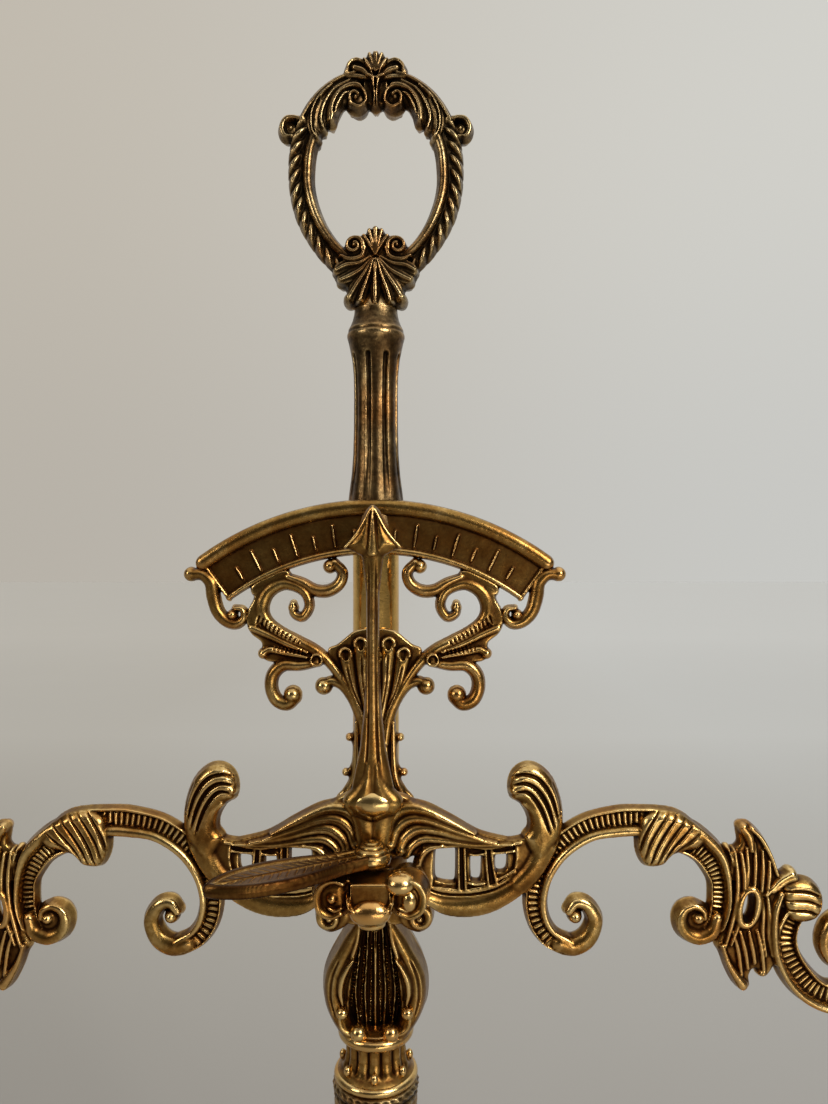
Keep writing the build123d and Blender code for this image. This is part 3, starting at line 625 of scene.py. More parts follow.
def shoulder(relief):
    """The boss under the pointer and the acanthus leaves that spread from it over the gallery."""
    boss = [(0, 6.5), (10, 6), (17, 1.6), (19, -8), (12, -15.4), (4, -16.6), (0, -16.6), (-1, -5)]
    relief.plate(boss, 2.6, 1.2)
    relief.bar([(0, -2), (0, -10), (0, -16)], [5.4, 5, 4.8], 2.8, 1.6, 0.5)
    relief.plate([(0, -12), (6.4, -14), (6.4, -21), (3.4, -22), (0, -22.4), (-1, -16)], 2.6, 0.6)
    bed = [(4, 0), (12, 4), (24, 0), (40, -8), (54, -12), (40, -15), (22, -14), (15, -18), (4, -16)]
    relief.plate(bed, 3.0, 1.6)
    leaves = (
        ([(5.2, -9), (6.6, -3.4), (11, 0.2), (18, 0.4), (27, -3.2), (38, -8.4)], 2.3, 5.6),
        ([(7.2, -12), (9, -6.8), (13.4, -3.4), (20, -3.4), (29, -6.6), (41, -10.8)], 2.1, 5.4),
        ([(10, -14), (12.4, -9.8), (17, -7), (24, -7.4), (33, -9.8), (46, -12)], 2.0, 5.1),
        ([(12.4, -17.4), (14.6, -13.4), (19, -10.8), (27, -11.2), (38, -12.6), (52, -12.6)], 1.5, 4.8),
        ([(17.4, -32), (16.4, -25), (17.4, -18.4), (20.6, -14.4), (26, -13)], 1.7, 4.9),
    )
    for path, width, height in leaves:
        relief.bar(path, [width * s for s in (1.1, 1.25, 1.2, 1.05, 0.8, 0.4)], height, 2.2, 0.5)
    relief.ball((6.2, -12.6), 3.3, 6.0, 1.0)
    relief.ball((10.4, -14.8), 2.8, 5.4, 0.8)


# ---------------------------------------------------------------- dial ------
DIAL_OUTER, DIAL_INNER, DIAL_HALF_ANGLE = 116.6, 95.0, 36.0
DIAL_TICKS, TICK_PITCH = 7, 4.4


def arc(radius):
    """Points of an arc about the pivot, from just past the middle to the dial's end."""
    turns = np.radians(np.linspace(-1, DIAL_HALF_ANGLE, 12))
    return [(radius * np.sin(a), radius * np.cos(a)) for a in turns]


def spoke(angle, radii):
    """Points on a line from the pivot, at an angle off the vertical."""
    return [(radius * np.sin(angle), radius * np.cos(angle)) for radius in radii]


def make_dial():
    """The arc dial on its pierced scroll bracket; the right half is drawn."""
    relief = Relief((-1.5, -12), (78, 120), step=0.36)
    relief.plate(arc(DIAL_OUTER) + arc(DIAL_INNER + 0.8)[::-1], 1.5, 0.5, smooth=False)
    relief.bar(arc(DIAL_OUTER - 3.2), [3.2], 3.6, 0.8)
    relief.bar(arc(DIAL_INNER + 1.6), [1.6, 1.6, 1.5, 1.2], 2.7, 0.8)
    reach = (DIAL_INNER + 1, (DIAL_INNER + DIAL_OUTER) / 2, DIAL_OUTER - 2)
    relief.bar(spoke(np.radians(DIAL_HALF_ANGLE), reach), [1.0], 2.6, 0.8)
    for step in range(1, DIAL_TICKS + 1):
        near, far = (4.6, 9.6) if step % 2 else (4.2, 12.6)
        low, high = DIAL_INNER + near, DIAL_INNER + far
        tick = spoke(np.radians(step * TICK_PITCH), (low, (low + high) / 2, high))
        relief.bar(tick, [0.55, 0.7, 0.55], 2.7, 1.5)
    for draw in (dial_scrolls, dial_leaf, dial_fan):
        draw(relief)
    plate_back = node_box("dial_plate")[1][1]
    casting = relief.solid((0, plate_back - 1.0, pivot[2]), back=(1.0, 0.0))
    build("dial_casting", "dial_plate", [casting], "gilt_brass")


def dial_scrolls(relief):
    """The outer scroll, the inner scroll and the long C-scroll under the band, and the webs between them."""
    outer = [
        (71, 87.3), (67, 87.2), (63.6, 84), (62.7, 78.7), (61, 73.1), (57.6, 69.2), (53.7, 68),
        (50.8, 70.3), (51.2, 73.6), (54.4, 74.4),
    ]
    relief.bar(outer, [2.5, 2.5, 2.9, 3.0, 2.9, 2.8, 2.5, 2.1, 1.8, 1.4], 3.4)
    relief.ball((71.4, 87.4), 2.9, 3.6, 0.3)
    relief.ball((55.2, 71.6), 2.3, 3.9, 0.2)
    inner = [(33.5, 86.4), (28, 84), (23.4, 81.2), (18.2, 80.9), (13.9, 83.6), (12.6, 88), (15.6, 91.6)]
    relief.bar(inner, [1.6, 2.2, 2.6, 2.7, 2.5, 2.3, 2.2], 3.3)
    relief.ball((17.4, 90.4), 2.8, 3.9, 0.3)
    c_scroll = [
        (31.6, 76), (31.4, 72.2), (28, 70.8), (25.4, 75.2), (27.6, 80.8), (34.8, 83.6), (41.2, 80.6),
        (43.7, 74.6), (42.2, 69.4), (37.4, 65.2), (30.4, 61.6), (23.4, 58), (18, 53.6), (13.4, 47.6),
        (8.8, 39.6), (5.4, 31), (4, 22),
    ]
    widths = [1.7, 2.1, 2.2, 2.3, 2.6, 2.9, 2.9, 2.7, 2.6, 2.5, 2.4, 2.3, 2.2, 2.2, 2.2, 2.2, 2.2]
    relief.bar(c_scroll, widths, 3.4)
    relief.ball((31.6, 74.4), 2.2, 3.6, 0.3)
    web = [(42, 84), (46.4, 82), (47.4, 77.6), (49.4, 73.6), (50, 68), (46, 66.4), (42, 72)]
    relief.plate(web, 2.8, 1.2, blend=0.6)
    web = [(31, 85), (34, 89.4), (41, 87), (48, 83), (47.4, 79), (43, 80), (37, 82)]
    relief.plate(web, 2.7, 1.0, blend=0.5)


def dial_leaf(relief):
    """The hatched acanthus stem with its eyelet and its lower hook."""
    leaf = [
        (45, 73), (49, 71), (49.8, 67.5), (48, 64), (44, 60.6), (44.4, 56.8), (41.6, 53.4), (33, 53),
        (24, 52), (21.4, 56), (27, 60), (35, 64), (41, 68.6),
    ]
    relief.plate(leaf, 2.0, 0.8)
    ribs = (
        [(26, 57.2), (34, 60.4), (41.6, 64), (47.6, 66.6)],
        [(26, 55.2), (33.6, 56.8), (40, 58.2), (43, 57)],
    )
    for rib in ribs:
        relief.bar(rib, [0.7, 1.2, 1.4, 1.5], 3.4, 1.6, 0.2)
    for share in np.linspace(0.14, 0.94, 11):
        low = np.array([27.5, 57.8]) * (1 - share) + np.array([46.8, 67.6]) * share
        reach = 1.2 + 2.6 * share
        hatch = [low + (-0.2, 0.9), low + (-0.7, reach * 0.6 + 0.6), low + (-1.3, reach + 0.9)]
        relief.groove(hatch, [0.5], 0.8)
    for share in np.linspace(0.08, 0.88, 8):
        low = np.array([27, 55.2]) * (1 - share) + np.array([40.5, 56.6]) * share
        relief.groove([low + (0, 1.0), low + (-0.2, 2.0), low + (-0.5, 3.0)], [0.46], 0.7)
    relief.ball((43.2, 56.6), 2.3, 3.7, 0.3)
    hook = [
        (22.4, 53), (29, 52), (35.4, 52), (39.4, 48.6), (40.2, 43.4), (38.2, 38.6), (34.2, 37),
        (31.2, 39.6),
    ]
    relief.bar(hook, [1.9, 2.3, 2.6, 2.8, 2.8, 2.8, 2.9, 3.0], 3.6)
    relief.ball((31.8, 40.6), 3.7, 4.4, 0.3)
    relief.ball((22.4, 54.3), 3.2, 3.0, 0.2)
    ring = [(22.4 + 2.2 * np.cos(a), 54.3 + 2.2 * np.sin(a)) for a in np.linspace(0, 2 * np.pi, 13)]
    relief.bar(ring, [0.75], 4.2, 2.0)
    arm = [(5.6, 30), (8, 37.6), (12, 43.6), (16.4, 45.8), (19.6, 44.6)]
    relief.bar(arm, [1.8, 2.0, 2.2, 2.2, 2.2], 3.2)
    relief.ball((19.8, 43.9), 3.5, 4.2, 0.3)


def dial_fan(relief):
    """The fan of ribs with cupped ends behind the pointer, and the stem below it."""
    back = [
        (0, 66), (3, 66.6), (8, 65.4), (11.6, 62.6), (14.6, 60.2), (18.4, 57.6), (13.6, 48), (9.4, 38),
        (7.6, 30), (8.6, 26), (10.2, 24.4), (8.8, 21), (9.2, 14), (11.2, 10.6), (10.2, 8), (12.4, 4),
        (15.4, 0), (14, -6), (8, -9.6), (0, -10.4), (-1.4, 20),
    ]
    relief.plate(back, 1.6, 0.8)
    for cup, root in (((5.4, 60.4), (2.4, 30)), ((11.2, 56.4), (4.2, 30))):
        middle = (cup[0] * 0.55 + root[0] * 0.45 + 0.4, cup[1] * 0.5 + root[1] * 0.5)
        relief.bar([cup, middle, root], [3.0, 1.9, 1.1], 3.4, 1.4, 0.4)
        turns = np.linspace(-0.3, np.pi + 0.3, 10)
        ring = [(cup[0] + 2.3 * np.cos(a), cup[1] + 2.3 * np.sin(a)) for a in turns]
        relief.bar(ring, [0.9], 3.8, 1.8, 0.5)
        relief.groove([(cup[0], cup[1] + 1.6), cup, (cup[0] - 0.3, cup[1] - 2.4)], [1.2, 1.5, 1.0], 1.3)
        relief.groove([(cup[0] - 0.4, cup[1] - 4), middle, (root[0], root[1] + 4)], [0.5, 0.5, 0.4], 0.7)
    for x_top, x_low in ((1.8, 1.2), (5.2, 4.2), (8.2, 7.2)):
        path = [(x_low, 30), (x_low, 18), (x_top, 8), (x_top * 1.5, -2)]
        relief.bar(path, [1.0, 1.2, 1.5, 1.7], 2.9, 1.4, 0.2)
    for bump in ((9.8, 24), (11.2, 10.4)):
        relief.ball(bump, 1.6, 2.8, 0.4)


# ---------------------------------------------------------------- pointer ---
def make_pointer():
    """The spearhead pointer with its grooved stem and the trumpet foot that covers the pivot."""
    relief = Relief((-1.5, -17), (13, 116), step=0.32)
    head = [
        (0, 114), (2.2, 112), (4.2, 108.6), (6, 104.6), (8.6, 100.6), (11.2, 97.4), (8, 96.6), (4.4, 94.6),
        (0, 93),
    ]
    relief.plate(head, 3.6, 6.0)
    relief.bar([(0, 113), (0, 104), (0, 96)], [0.8, 1.5, 2.2], 4.2, 2.6, 0.8)
    relief.bar([(0.8, 111.8), (5.2, 103.6), (10.2, 97.8)], [0.6, 0.8, 0.8], 2.9, 1.6, 0.4)
    stem = [(0, 96), (0, 72), (0, 45), (0, 30), (0, 15), (0, 8)]
    relief.bar(stem, [4.2, 2.6, 2.5, 2.7, 3.4, 5.0, 8.0], 3.4)
    flute = [(1.5, 93), (1.5, 60), (1.7, 34), (2.6, 17), (4.8, 8.5)]
    relief.groove(flute, [0.45, 0.5, 0.5, 0.6, 0.7], 0.7)
    foot = [
        (-1, 22), (3.4, 20), (5, 14), (7.6, 9.4), (10.4, 6.4), (11.4, 3.4), (10, 0.6), (7, -1.6), (-1, -2),
    ]
    relief.plate(foot, 4.0, 5.0)
    brow = [(-1, 1), (8.4, 0.8), (7.4, -4), (6.6, -9), (5.6, -12.6), (3.4, -14.8), (-1, -15.4)]
    relief.plate(brow, 2.6, 4.0)
    place = middle_place("pointer", pivot[2])
    dome = bead(place + (0, -1.2, 3.6), 1.0, (8.5, 4.0, 5.2), 24)
    build("pointer_casting", "pointer", [relief.solid(place, back=(2.4, 0.1)), dome], "gilt_brass", "beam")


# ---------------------------------------------------------------- handle ----
def fan(relief, root, tips, widths, height, base):
    """Leaf ribs that spread from a root to their tips."""
    for tip, width in zip(tips, widths):
        middle = ((root[0] + tip[0]) / 2, (root[1] * 0.45 + tip[1] * 0.55))
        relief.bar([root, middle, tip], [width * 0.5, width * 0.9, width], height, base, 0.05)


def make_handle():
    """The carrying ring: a rope and a smooth bead side by side, a shell crest and a palmette foot."""
    relief = Relief((-1.5, 536), (40, 642), step=0.34)
    web = [
        (26, 608), (28.6, 600), (29.4, 592), (29, 584), (27, 576.4), (23.4, 568.6), (18.6, 561.6),
        (12.6, 555.6),
    ]
    relief.bar(web, [4.2], 3.0)
    smooth = [
        (23.8, 607), (25.9, 600), (26.7, 593), (26.6, 586), (24.9, 578.4), (21.6, 570.4), (17, 563.6),
        (11.6, 558.4), (8, 555),
    ]
    relief.bar(smooth, [2.6, 2.7, 2.7, 2.7, 2.6, 2.5], 5.0)
    rope = [
        (28.4, 612), (31.2, 602.6), (32, 593), (31.4, 584), (29.2, 575), (25.4, 567.2), (20.4, 560),
        (14.8, 554.2), (11, 550.4),
    ]
    relief.stroke(rope, [3.0, 3.1, 3.0, 3.0, 3.0, 2.9, 2.8], twisted(5.2, 5.8, 1.8))
    for draw in (handle_shoulder, handle_crest, handle_palmette):
        draw(relief)
    neck = lathe(dense([(7.4, 537.2), (8.0, 537.8), (7.4, 539.4), (5.2, 545), (0.01, 547), (0.01, 537.2)]))
    parts = [relief.solid(middle_place("ring_handle", 0)), neck]
    build("handle_casting", "ring_handle", parts, "antique_brass")


def handle_shoulder(relief):
    """The acanthus that wraps the shoulder, and its curled ear."""
    back = [
        (9, 631.6), (13, 630.8), (19, 627.4), (24.6, 622.4), (28.6, 617), (30.6, 612.6), (28, 607.6),
        (24, 604.6), (20.4, 607), (18.4, 610.8), (15.4, 614), (12, 618), (7, 620), (5, 626),
    ]
    relief.plate(back, 3.8, 2.4)
    upper = [(8, 630.4), (14.4, 628), (20.4, 623.8), (25.6, 618), (29.4, 611.6)]
    inner = [(10, 627.4), (16, 624), (19.8, 618.6), (21.4, 613), (20.4, 608.6)]
    middle = [(17, 625.4), (22, 620.4), (24.6, 614), (24.6, 608.6), (23, 604.6)]
    leaves = (
        (upper, [1.6, 2.1, 2.2, 2.1, 1.7], 5.4),
        (inner, [1.2, 1.7, 1.9, 2.0, 1.5], 5.2),
        (middle, [1.0, 1.9, 2.5, 2.6, 1.8], 6.0),
    )
    for path, widths, height in leaves:
        relief.stroke(path, widths, ridged(height, 2, 0.9, 1.6), 0.1)
    relief.groove([(21.4, 621), (24, 615), (24.4, 609), (23.4, 605.6)], [0.4, 0.7, 0.7, 0.4], 1.6)
    ear = [(28, 611.4), (31.6, 613), (35.2, 612.6), (37, 609.4), (36, 606), (33, 605.6)]
    relief.bar(ear, [1.6, 1.8, 2.0, 2.1, 2.0, 1.3], 4.8, blend=0.3)
    relief.ball((33.6, 608.8), 3.2, 3.4, 0.2)
    relief.ball((33.4, 608.8), 1.4, 4.4, 0.2)


def handle_crest(relief):
    """The shell, the two rolled leaves, the drop and the volutes at the top of the ring."""
    shell = [(0, 640), (3, 639), (4.8, 636.6), (4.2, 632), (4, 626), (-1.2, 626), (-1.2, 634)]
    relief.plate(shell, 2.6, 1.2)
    tips = [(0, 638.4), (2.3, 637.8), (4, 635.8), (4.3, 633.4)]
    fan(relief, (0, 631), tips, [1.3, 1.2, 1.1, 1.0], 5.0, 2.4)
    leaf = [(1, 629), (2.6, 632.8), (5, 635.4), (8.4, 635.8), (11, 633.4), (11.2, 630)]
    relief.plate([(0.6, 627)] + leaf + [(9.6, 627.4), (5, 626.6)], 3.4, 1.6)
    relief.bar(leaf, [0.9, 1.2, 1.4, 1.5, 1.6, 1.5], 6.0, 2.4, 0.05)
    relief.bar([(2.2, 628.4), (5, 631.2), (8.2, 632.2)], [1.2, 1.6, 1.5], 5.4, 2.4, 0.1)
    relief.bar([(1.4, 627.4), (6, 628.8), (11, 629)], [1.0, 1.3, 1.3], 5.2, 2.4, 0.05)
    scroll = [
        (17.4, 611.6), (16.7, 616.4), (14.4, 621.4), (10.6, 624.8), (6.8, 625.2), (4, 622.6), (3.6, 618.8),
        (6.4, 616.6), (9.6, 618),
    ]
    relief.ball((7.4, 620), 4.9, 4.6)
    relief.bar(scroll, [2.2, 2.7, 2.9, 2.5, 1.9, 1.4, 1.3, 1.3, 1.2], 5.8, 1.6, 0.1)
    relief.groove([(16.4, 614), (15.6, 618), (12.6, 622.6), (8, 624.2)], [0.5, 0.7, 0.7, 0.5], 1.4)
    relief.bar([(9.6, 618), (10, 621), (8.4, 622.6), (6.6, 621.6)], [1.2, 1.1, 1.0, 0.9], 6.0, 3.0, 0.05)
    relief.ball((7.6, 620.2), 1.5, 6.4, 0.2)
    relief.plate([(-1.2, 631), (4.6, 630), (5.4, 624), (4.4, 619.4), (2.4, 617.6), (-1.2, 617.4)], 3.4, 0.8)
    drop = [
        (-1.2, 629), (3.4, 628.8), (3.0, 626.2), (2.2, 623.4), (2.0, 620.4), (2.3, 618.2), (1.6, 616.8),
        (-1.2, 616.6),
    ]
    relief.plate(drop, 6.2, 1.8)
    relief.groove([(1.3, 626.4), (1.0, 622), (0.9, 618.6)], [0.3, 0.4, 0.3], 0.8)
    relief.bar([(-1, 628.2), (1.2, 628), (3.2, 628.6)], [0.8, 0.8, 0.8], 7.0, 4.0, 0.1)


def handle_palmette(relief):
    """The shell and volutes in the foot of the ring, and the leaves that clasp its socket."""
    base = [
        (-1.2, 570), (2.6, 569.4), (5, 567), (8.6, 566), (12.6, 563), (12.4, 559), (16, 554), (17, 551.6),
        (15, 547.4), (11.6, 544.6), (11.8, 540.4), (9.4, 537.8), (7, 538), (3, 537.2), (-1.2, 537),
    ]
    relief.plate(base, 5.0, 2.8)
    fan(relief, (0, 558), [(0, 568.6), (2.4, 567.8), (4.5, 565.6)], [1.4, 1.3, 1.2], 6.6, 3.0)
    coil = spiral((8.4, 561.8), 3.9, 1.2, 200, -270, 16)
    relief.ball((8.4, 561.8), 4.2, 4.6)
    relief.bar(coil, [1.4, 1.3, 1.1, 0.8], 6.6, 3.4, 0.05)
    relief.ball((8.4, 561.8), 1.4, 7.0, 0.2)
    relief.bar([(4, 561), (5.6, 557.4), (10, 556.4), (14, 557.8)], [1.3, 1.5, 1.5, 1.0], 6.4, 3.0, 0.05)
    leaves = (
        ([(1.6, 557.4), (6.4, 554.8), (11.4, 554), (15.4, 552)], [1.1, 2.0, 2.5, 2.0], 6.4),
        ([(1.4, 556.4), (5.8, 552), (10.4, 549.4), (13.6, 548)], [1.0, 2.0, 2.6, 2.1], 6.8),
        ([(1.0, 556), (4.2, 550.4), (7.8, 545), (10, 541.2)], [1.0, 1.9, 2.6, 2.6], 7.6),
        ([(0.7, 555.4), (2.4, 549.4), (4.6, 543.4), (5.8, 539.4)], [0.9, 1.6, 2.1, 2.1], 8.6),
        ([(0, 556), (0, 549), (0, 542), (0, 538.4)], [1.0, 1.5, 2.3, 2.2], 9.2),
    )
    for path, widths, height in leaves:
        relief.stroke(path, widths, ridged(height, 2, 0.7, 4.0), 0.15)
    relief.ball((10.2, 540.8), 2.6, 7.8, 0.4)
    relief.ball((0, 539.8), 1.2, 9.8, 0.3)


# ---------------------------------------------------------------- sleeve ----
FLUTES = 8
FLUTE_LEAN = 27.5  # degrees from the front to the first flute
FLUTE_TOP, FLUTE_FOOT, FLUTE_FADE = 518.6, 460, 34  # they fade in above their foot
FLUTE_HALF, FLUTE_DEPTH = 1.15, 1.35
SLEEVE_WAIST = 8.8  # radius
SLEEVE_BORE_TOP = 455.0  # where the tube ends


def make_sleeve():
    """The fluted sleeve: a flared foot, eight round-ended flutes and a sharp collar under the ring."""
    outline = [
        (9.3, 449), (11.4, 449), (11.7, 451), (11.4, 455), (11, 460), (10.4, 465), (9.5, 472), (8.9, 480),
        (8.65, 490), (8.6, 502), (8.8, 511), (9.4, 517), (10.2, 521), (10.9, 524.4), (11.5, 526.4),
        (11.5, 527.4), (11, 528.4), (11, 529.4), (10.2, 530.8), (9.3, 533), (8.7, 535.6), (8.5, 538),
        (6.6, 538), (6.6, 457), (9.3, SLEEVE_BORE_TOP + 1),
    ]

    def flutes(radius, height, angle):
        pitch = 360 / FLUTES
        turn = (np.degrees(angle) + 90 - FLUTE_LEAN) % pitch
        off = np.radians(np.minimum(turn, pitch - turn)) * SLEEVE_WAIST
        top = FLUTE_TOP + 1.2 * half_round(off / 1.2)
        length = np.clip((top - height) / 0.9, 0, 1) * np.clip((height - FLUTE_FOOT) / FLUTE_FADE, 0, 1)
        cut = FLUTE_DEPTH * np.clip(1 - (off / FLUTE_HALF) ** 2, 0, 1) ** 0.6 * length
        swell = 0.18 * np.cos(np.pi * off / (3 * FLUTE_HALF)) * np.clip((519 - height) / 20, 0, 1)
        return radius - cut - swell

    turned = lathe(dense(outline, 0.4), outside_bore(flutes), 288)
    build("sleeve", "fluted_sleeve", [turned], "antique_brass", cavity=(5, 30))


def make_tube():
    """The plain tube, which ends inside the sleeve's mouth."""
    low, high = node_box("column_tube")
    outline = [(6, low[2]), (high[0], low[2]), (high[0], SLEEVE_BORE_TOP), (6, SLEEVE_BORE_TOP)]
    build("tube", "column_tube", [lathe(dense(outline, 1.0), None, 128)], "polished_brass", soften=0)


# ---------------------------------------------------------------- lyre ------
NECK_REEDS, NECK_DROPS = 14, 7


def torus(radius, height, section):
    """A ring of round section about the Z axis."""
    outline = [(radius + section * np.cos(a), height + section * np.sin(a)) for a in ring_turns(24)]
    return lathe(outline, None, 128)


def bead(centre, radius, squash=(1, 1, 1), rings=10):
    """A round bead as a closed mesh, squashed or stretched along X, Y and Z."""
    turn = np.linspace(-np.pi / 2 + 0.06, np.pi / 2 - 0.06, rings)
    outline = [(radius * np.cos(a), radius * np.sin(a)) for a in turn]
    points, quads = lathe([(0.005, -radius)] + outline + [(0.005, radius)], None, 2 * rings)
    return points * np.array(squash) + np.array(centre), quads


def bead_row(radius, height, size, count):
    """A row of beads round the Z axis."""
    return [bead((radius * np.cos(a), radius * np.sin(a), height), size, rings=6) for a in ring_turns(count)]


def make_lyre():
    """The lyre baluster: two leafy arms round a strung recess, on a reeded neck with two rings."""
    relief = Relief((-1.5, 246), (24, 308), step=0.34)
    body = [
        (0, 304), (6, 304), (7.6, 299), (10.4, 294.6), (13, 290.7), (15.4, 285.9), (18.2, 281),
        (20.2, 276.4), (21, 271.6), (21, 266.8), (20.2, 262), (17.7, 257.2), (14.2, 252.6), (12, 250),
        (0, 250), (-1.2, 275),
    ]
    relief.plate(body, 7.0, 5)
    recess = [
        (-1.4, 306), (4, 306), (4.8, 298), (5.8, 290), (7.6, 282), (9.2, 271), (9.8, 262), (8, 255),
        (-1.4, 253),
    ]
    relief.sink(recess, 3.4)
    arm = [
        (4.6, 304.4), (6.2, 296), (9.4, 289), (12.6, 282.4), (15.2, 275.6), (15.8, 268.6), (14.6, 262),
        (12, 256), (9.6, 252.4),
    ]
    relief.bar(arm, [2.4, 2.9, 3.8, 4.4, 4.9, 5.0, 4.7, 4.0, 3.0], 11.2, 2.0, 0.8)
    relief.bar([(5.6, 300), (6.4, 292), (8, 286), (10, 280.6)], [1.1, 1.6, 1.9, 1.2], 11.4, 5.0, 0.6)
    leaf = [(8, 283.4), (10.2, 280.4), (12.4, 275.6), (13, 270.4), (12, 266)]
    relief.stroke(leaf, [1.3, 2.4, 3.0, 2.5, 1.4], ridged(12.8, 2, 0.5, 6), 0.3)
    relief.groove([(13.4, 283.4), (16.4, 276), (17, 268), (15, 260)], [0.4, 0.8, 0.8, 0.4], 0.7)
    relief.bar([(13.6, 263), (13, 257.4), (10, 254.4), (6.4, 254.4)], [1.5, 1.8, 2.0, 2.0], 11.6, 6, 0.4)
    for string in (0.0, 3.7, 7.3):
        path = [(string * 0.6, 303.6), (string * 0.84, 283), (string * 1.04, 268), (string * 0.86, 254)]
        relief.bar(path, [0.7, 0.75, 0.8, 0.8], 8.4, 4.4)
    for row, low, high in ((1.8, 256, 286), (5.5, 258, 286), (9.2, 262, 279)):
        for z in np.arange(low, high, 1.3):
            relief.ball((row * (0.74 + 0.3 * (286 - z) / 28), z), 0.6, 4.9)
    parts = [relief.solid()]
    for side in (-1, 1):
        for face in (-1, 1):
            parts.append(bead((side * 6.3, face * 11.6, 255.2), 3.2, rings=16))
            parts.append(bead((side * 12.6, face * 11.2, 262.6), 2.4, rings=14))
    build("lyre_casting", "lyre_baluster", parts + lyre_neck(), "gilt_brass")


def lyre_neck():
    """The reeded neck under the lyre, its two rings and the row of drops."""
    outline = [
        (6.5, 232.2), (15.4, 232.2), (16, 233.6), (15.8, 235.2), (14.8, 236.2), (13.6, 237.2),
        (12.6, 239.4), (12, 242.6), (12, 246), (12.4, 248.6), (13, 251), (12.6, 253.6), (10, 255),
        (6.5, 255.4),
    ]

    def reeds(radius, height, angle):
        wave = np.abs(np.sin(angle * NECK_REEDS / 2)) ** 0.6
        return radius - band(height, 237.4, 249.4, 1.2) * 1.7 * (1 - wave)

    parts = [lathe(dense(outline, 0.35), reeds, 256), torus(12.6, 250.8, 2.5), torus(14.9, 234, 1.8)]
    drops = ring_turns(NECK_DROPS, -np.pi / 2)
    parts += [bead((13.7 * np.cos(a), 13.7 * np.sin(a), 238.4), 1.7, (0.9, 0.9, 1.3), 10) for a in drops]
    return parts


# ---------------------------------------------------------------- head ------
CHEEK = [(7, 327.4), (13, 328.4), (18.4, 326.4), (20.6, 321.4), (19.4, 315.6), (14.6, 312.4), (7, 313.6)]
CHEEK_RIM = [(9.6, 326), (13, 327), (16.8, 325.4), (18.8, 321.4), (17.8, 316.6), (14, 314.4), (10.4, 315.6)]
BOX_DEPTH = 20.5


def make_head():
    """The bracket head: a collar on the tube, a neck under the beam, and a scrolled box for the lock."""
    front = node_box("bracket_head")[0][1]
    relief = Relief((-24, 308), (24, 331), step=0.32)
    box = [(-9, 327.6), (9, 327.6), (9.2, 319), (6, 313), (-6, 313), (-9.2, 319)]
    relief.plate(box, 9.4, 1.6, smooth=False)
    relief.sink([(-7, 326.8), (7, 326.8), (7, 317.4), (-7, 317.4)], 7.8, smooth=False)
    lip = [(-8, 321), (-6.4, 316.8), (0, 314.6), (6.4, 316.8), (8, 321)]
    relief.bar(lip, [1.2, 1.7, 2.2, 1.7, 1.2], 10.4, 7, 0.5)
    for side in (-1, 1):
        mirror = np.array([side, 1])
        relief.bar(mirror * [(8.2, 327), (8.4, 322), (7.4, 317.6)], [0.9, 1.1, 1.0], 10.2, 7, 0.3)
        relief.plate(mirror * CHEEK, 7.6, 5.0, blend=0.4)
        relief.bar(mirror * CHEEK_RIM, [1.6, 2.0, 2.3, 2.4, 2.3, 2.0, 1.5], 9.2, 5, 0.6)
        relief.ball((side * 13.4, 320.6), 3.4, 9.4, 0.8)
        relief.bar(mirror * [(10, 317.6), (12.4, 316.6), (14.4, 317.6)], [0.8, 1.0, 0.8], 9, 6, 0.3)
    parts = [relief.solid((0, front + BOX_DEPTH / 2, 0), mirror=False)]
    parts.append(bead((0, front + 2.4, 315.6), 1.0, (7.2, 3.8, 4.6), 24))
    parts.append(bead((10.4, front + 4.4, 325.2), 1.0, (5.6, 5.0, 4.1), 24))
    parts.append(bead((13.6, front + 3.6, 319.4), 1.0, (3.0, 3.0, 4.2), 18))
    collar = [
        (9.4, 304.6), (12.6, 304.6), (13.2, 305.6), (12.4, 307), (12.4, 322), (13.6, 324.4), (14, 326.6),
        (13.2, 329), (11, 330), (9.4, 330),
    ]
    parts.append(lathe(dense(collar, 0.5), None, 160))
    parts.append(block((-7.8, front + 5, 312.6), (7.8, -10.4, 320.4), 2.4))
    boss = [(3.7, 306.5), (4.5, 306.5), (5, 307.2), (5.2, 310), (5.2, 316), (3.7, 316)]
    parts.append(on_lever_axis(lathe(dense(boss, 0.5), None, 96)))
    parts.append(head_volutes())
    build("head_casting", "bracket_head", parts, "gilt_brass")


def on_lever_axis(part):
    """A turned part moved on to the lever's upright axis."""
    return part[0] + (lever_axis[0], lever_axis[1], 0), part[1]


def head_volutes():
    """The leafy volutes on the collar, behind the beam, that carry the neck."""
    relief = Relief((-1.5, 290), (26, 314), step=0.34)
    volute = [(9, 307), (14, 310), (20, 308.4), (23, 302.6), (21.8, 296.6), (17, 293.8), (11, 296), (8, 300)]
    relief.plate(volute, 4.6, 3.4)
    coil = spiral((17, 300.8), 4.6, 1.8, 120, -260, 18)
    relief.bar(coil, [2.3, 2.2, 1.9, 1.4], 6.2, 3.4, 0.5)
    relief.ball((17.2, 300.6), 2.4, 6.6, 0.6)
    for path in ([(10, 311), (15.6, 309.4), (20.6, 305.8)], [(9, 307.4), (12.6, 306), (14.4, 303)]):
        relief.stroke(path, [2.0, 2.4, 1.5], ridged(5.8, 2, 0.7, 3.0), 0.4)
    relief.plate([(4, 312), (10, 312.6), (13, 306), (12, 298), (4, 298)], 4.0, 2.0)
    return relief.solid((0, -9.6, 0))


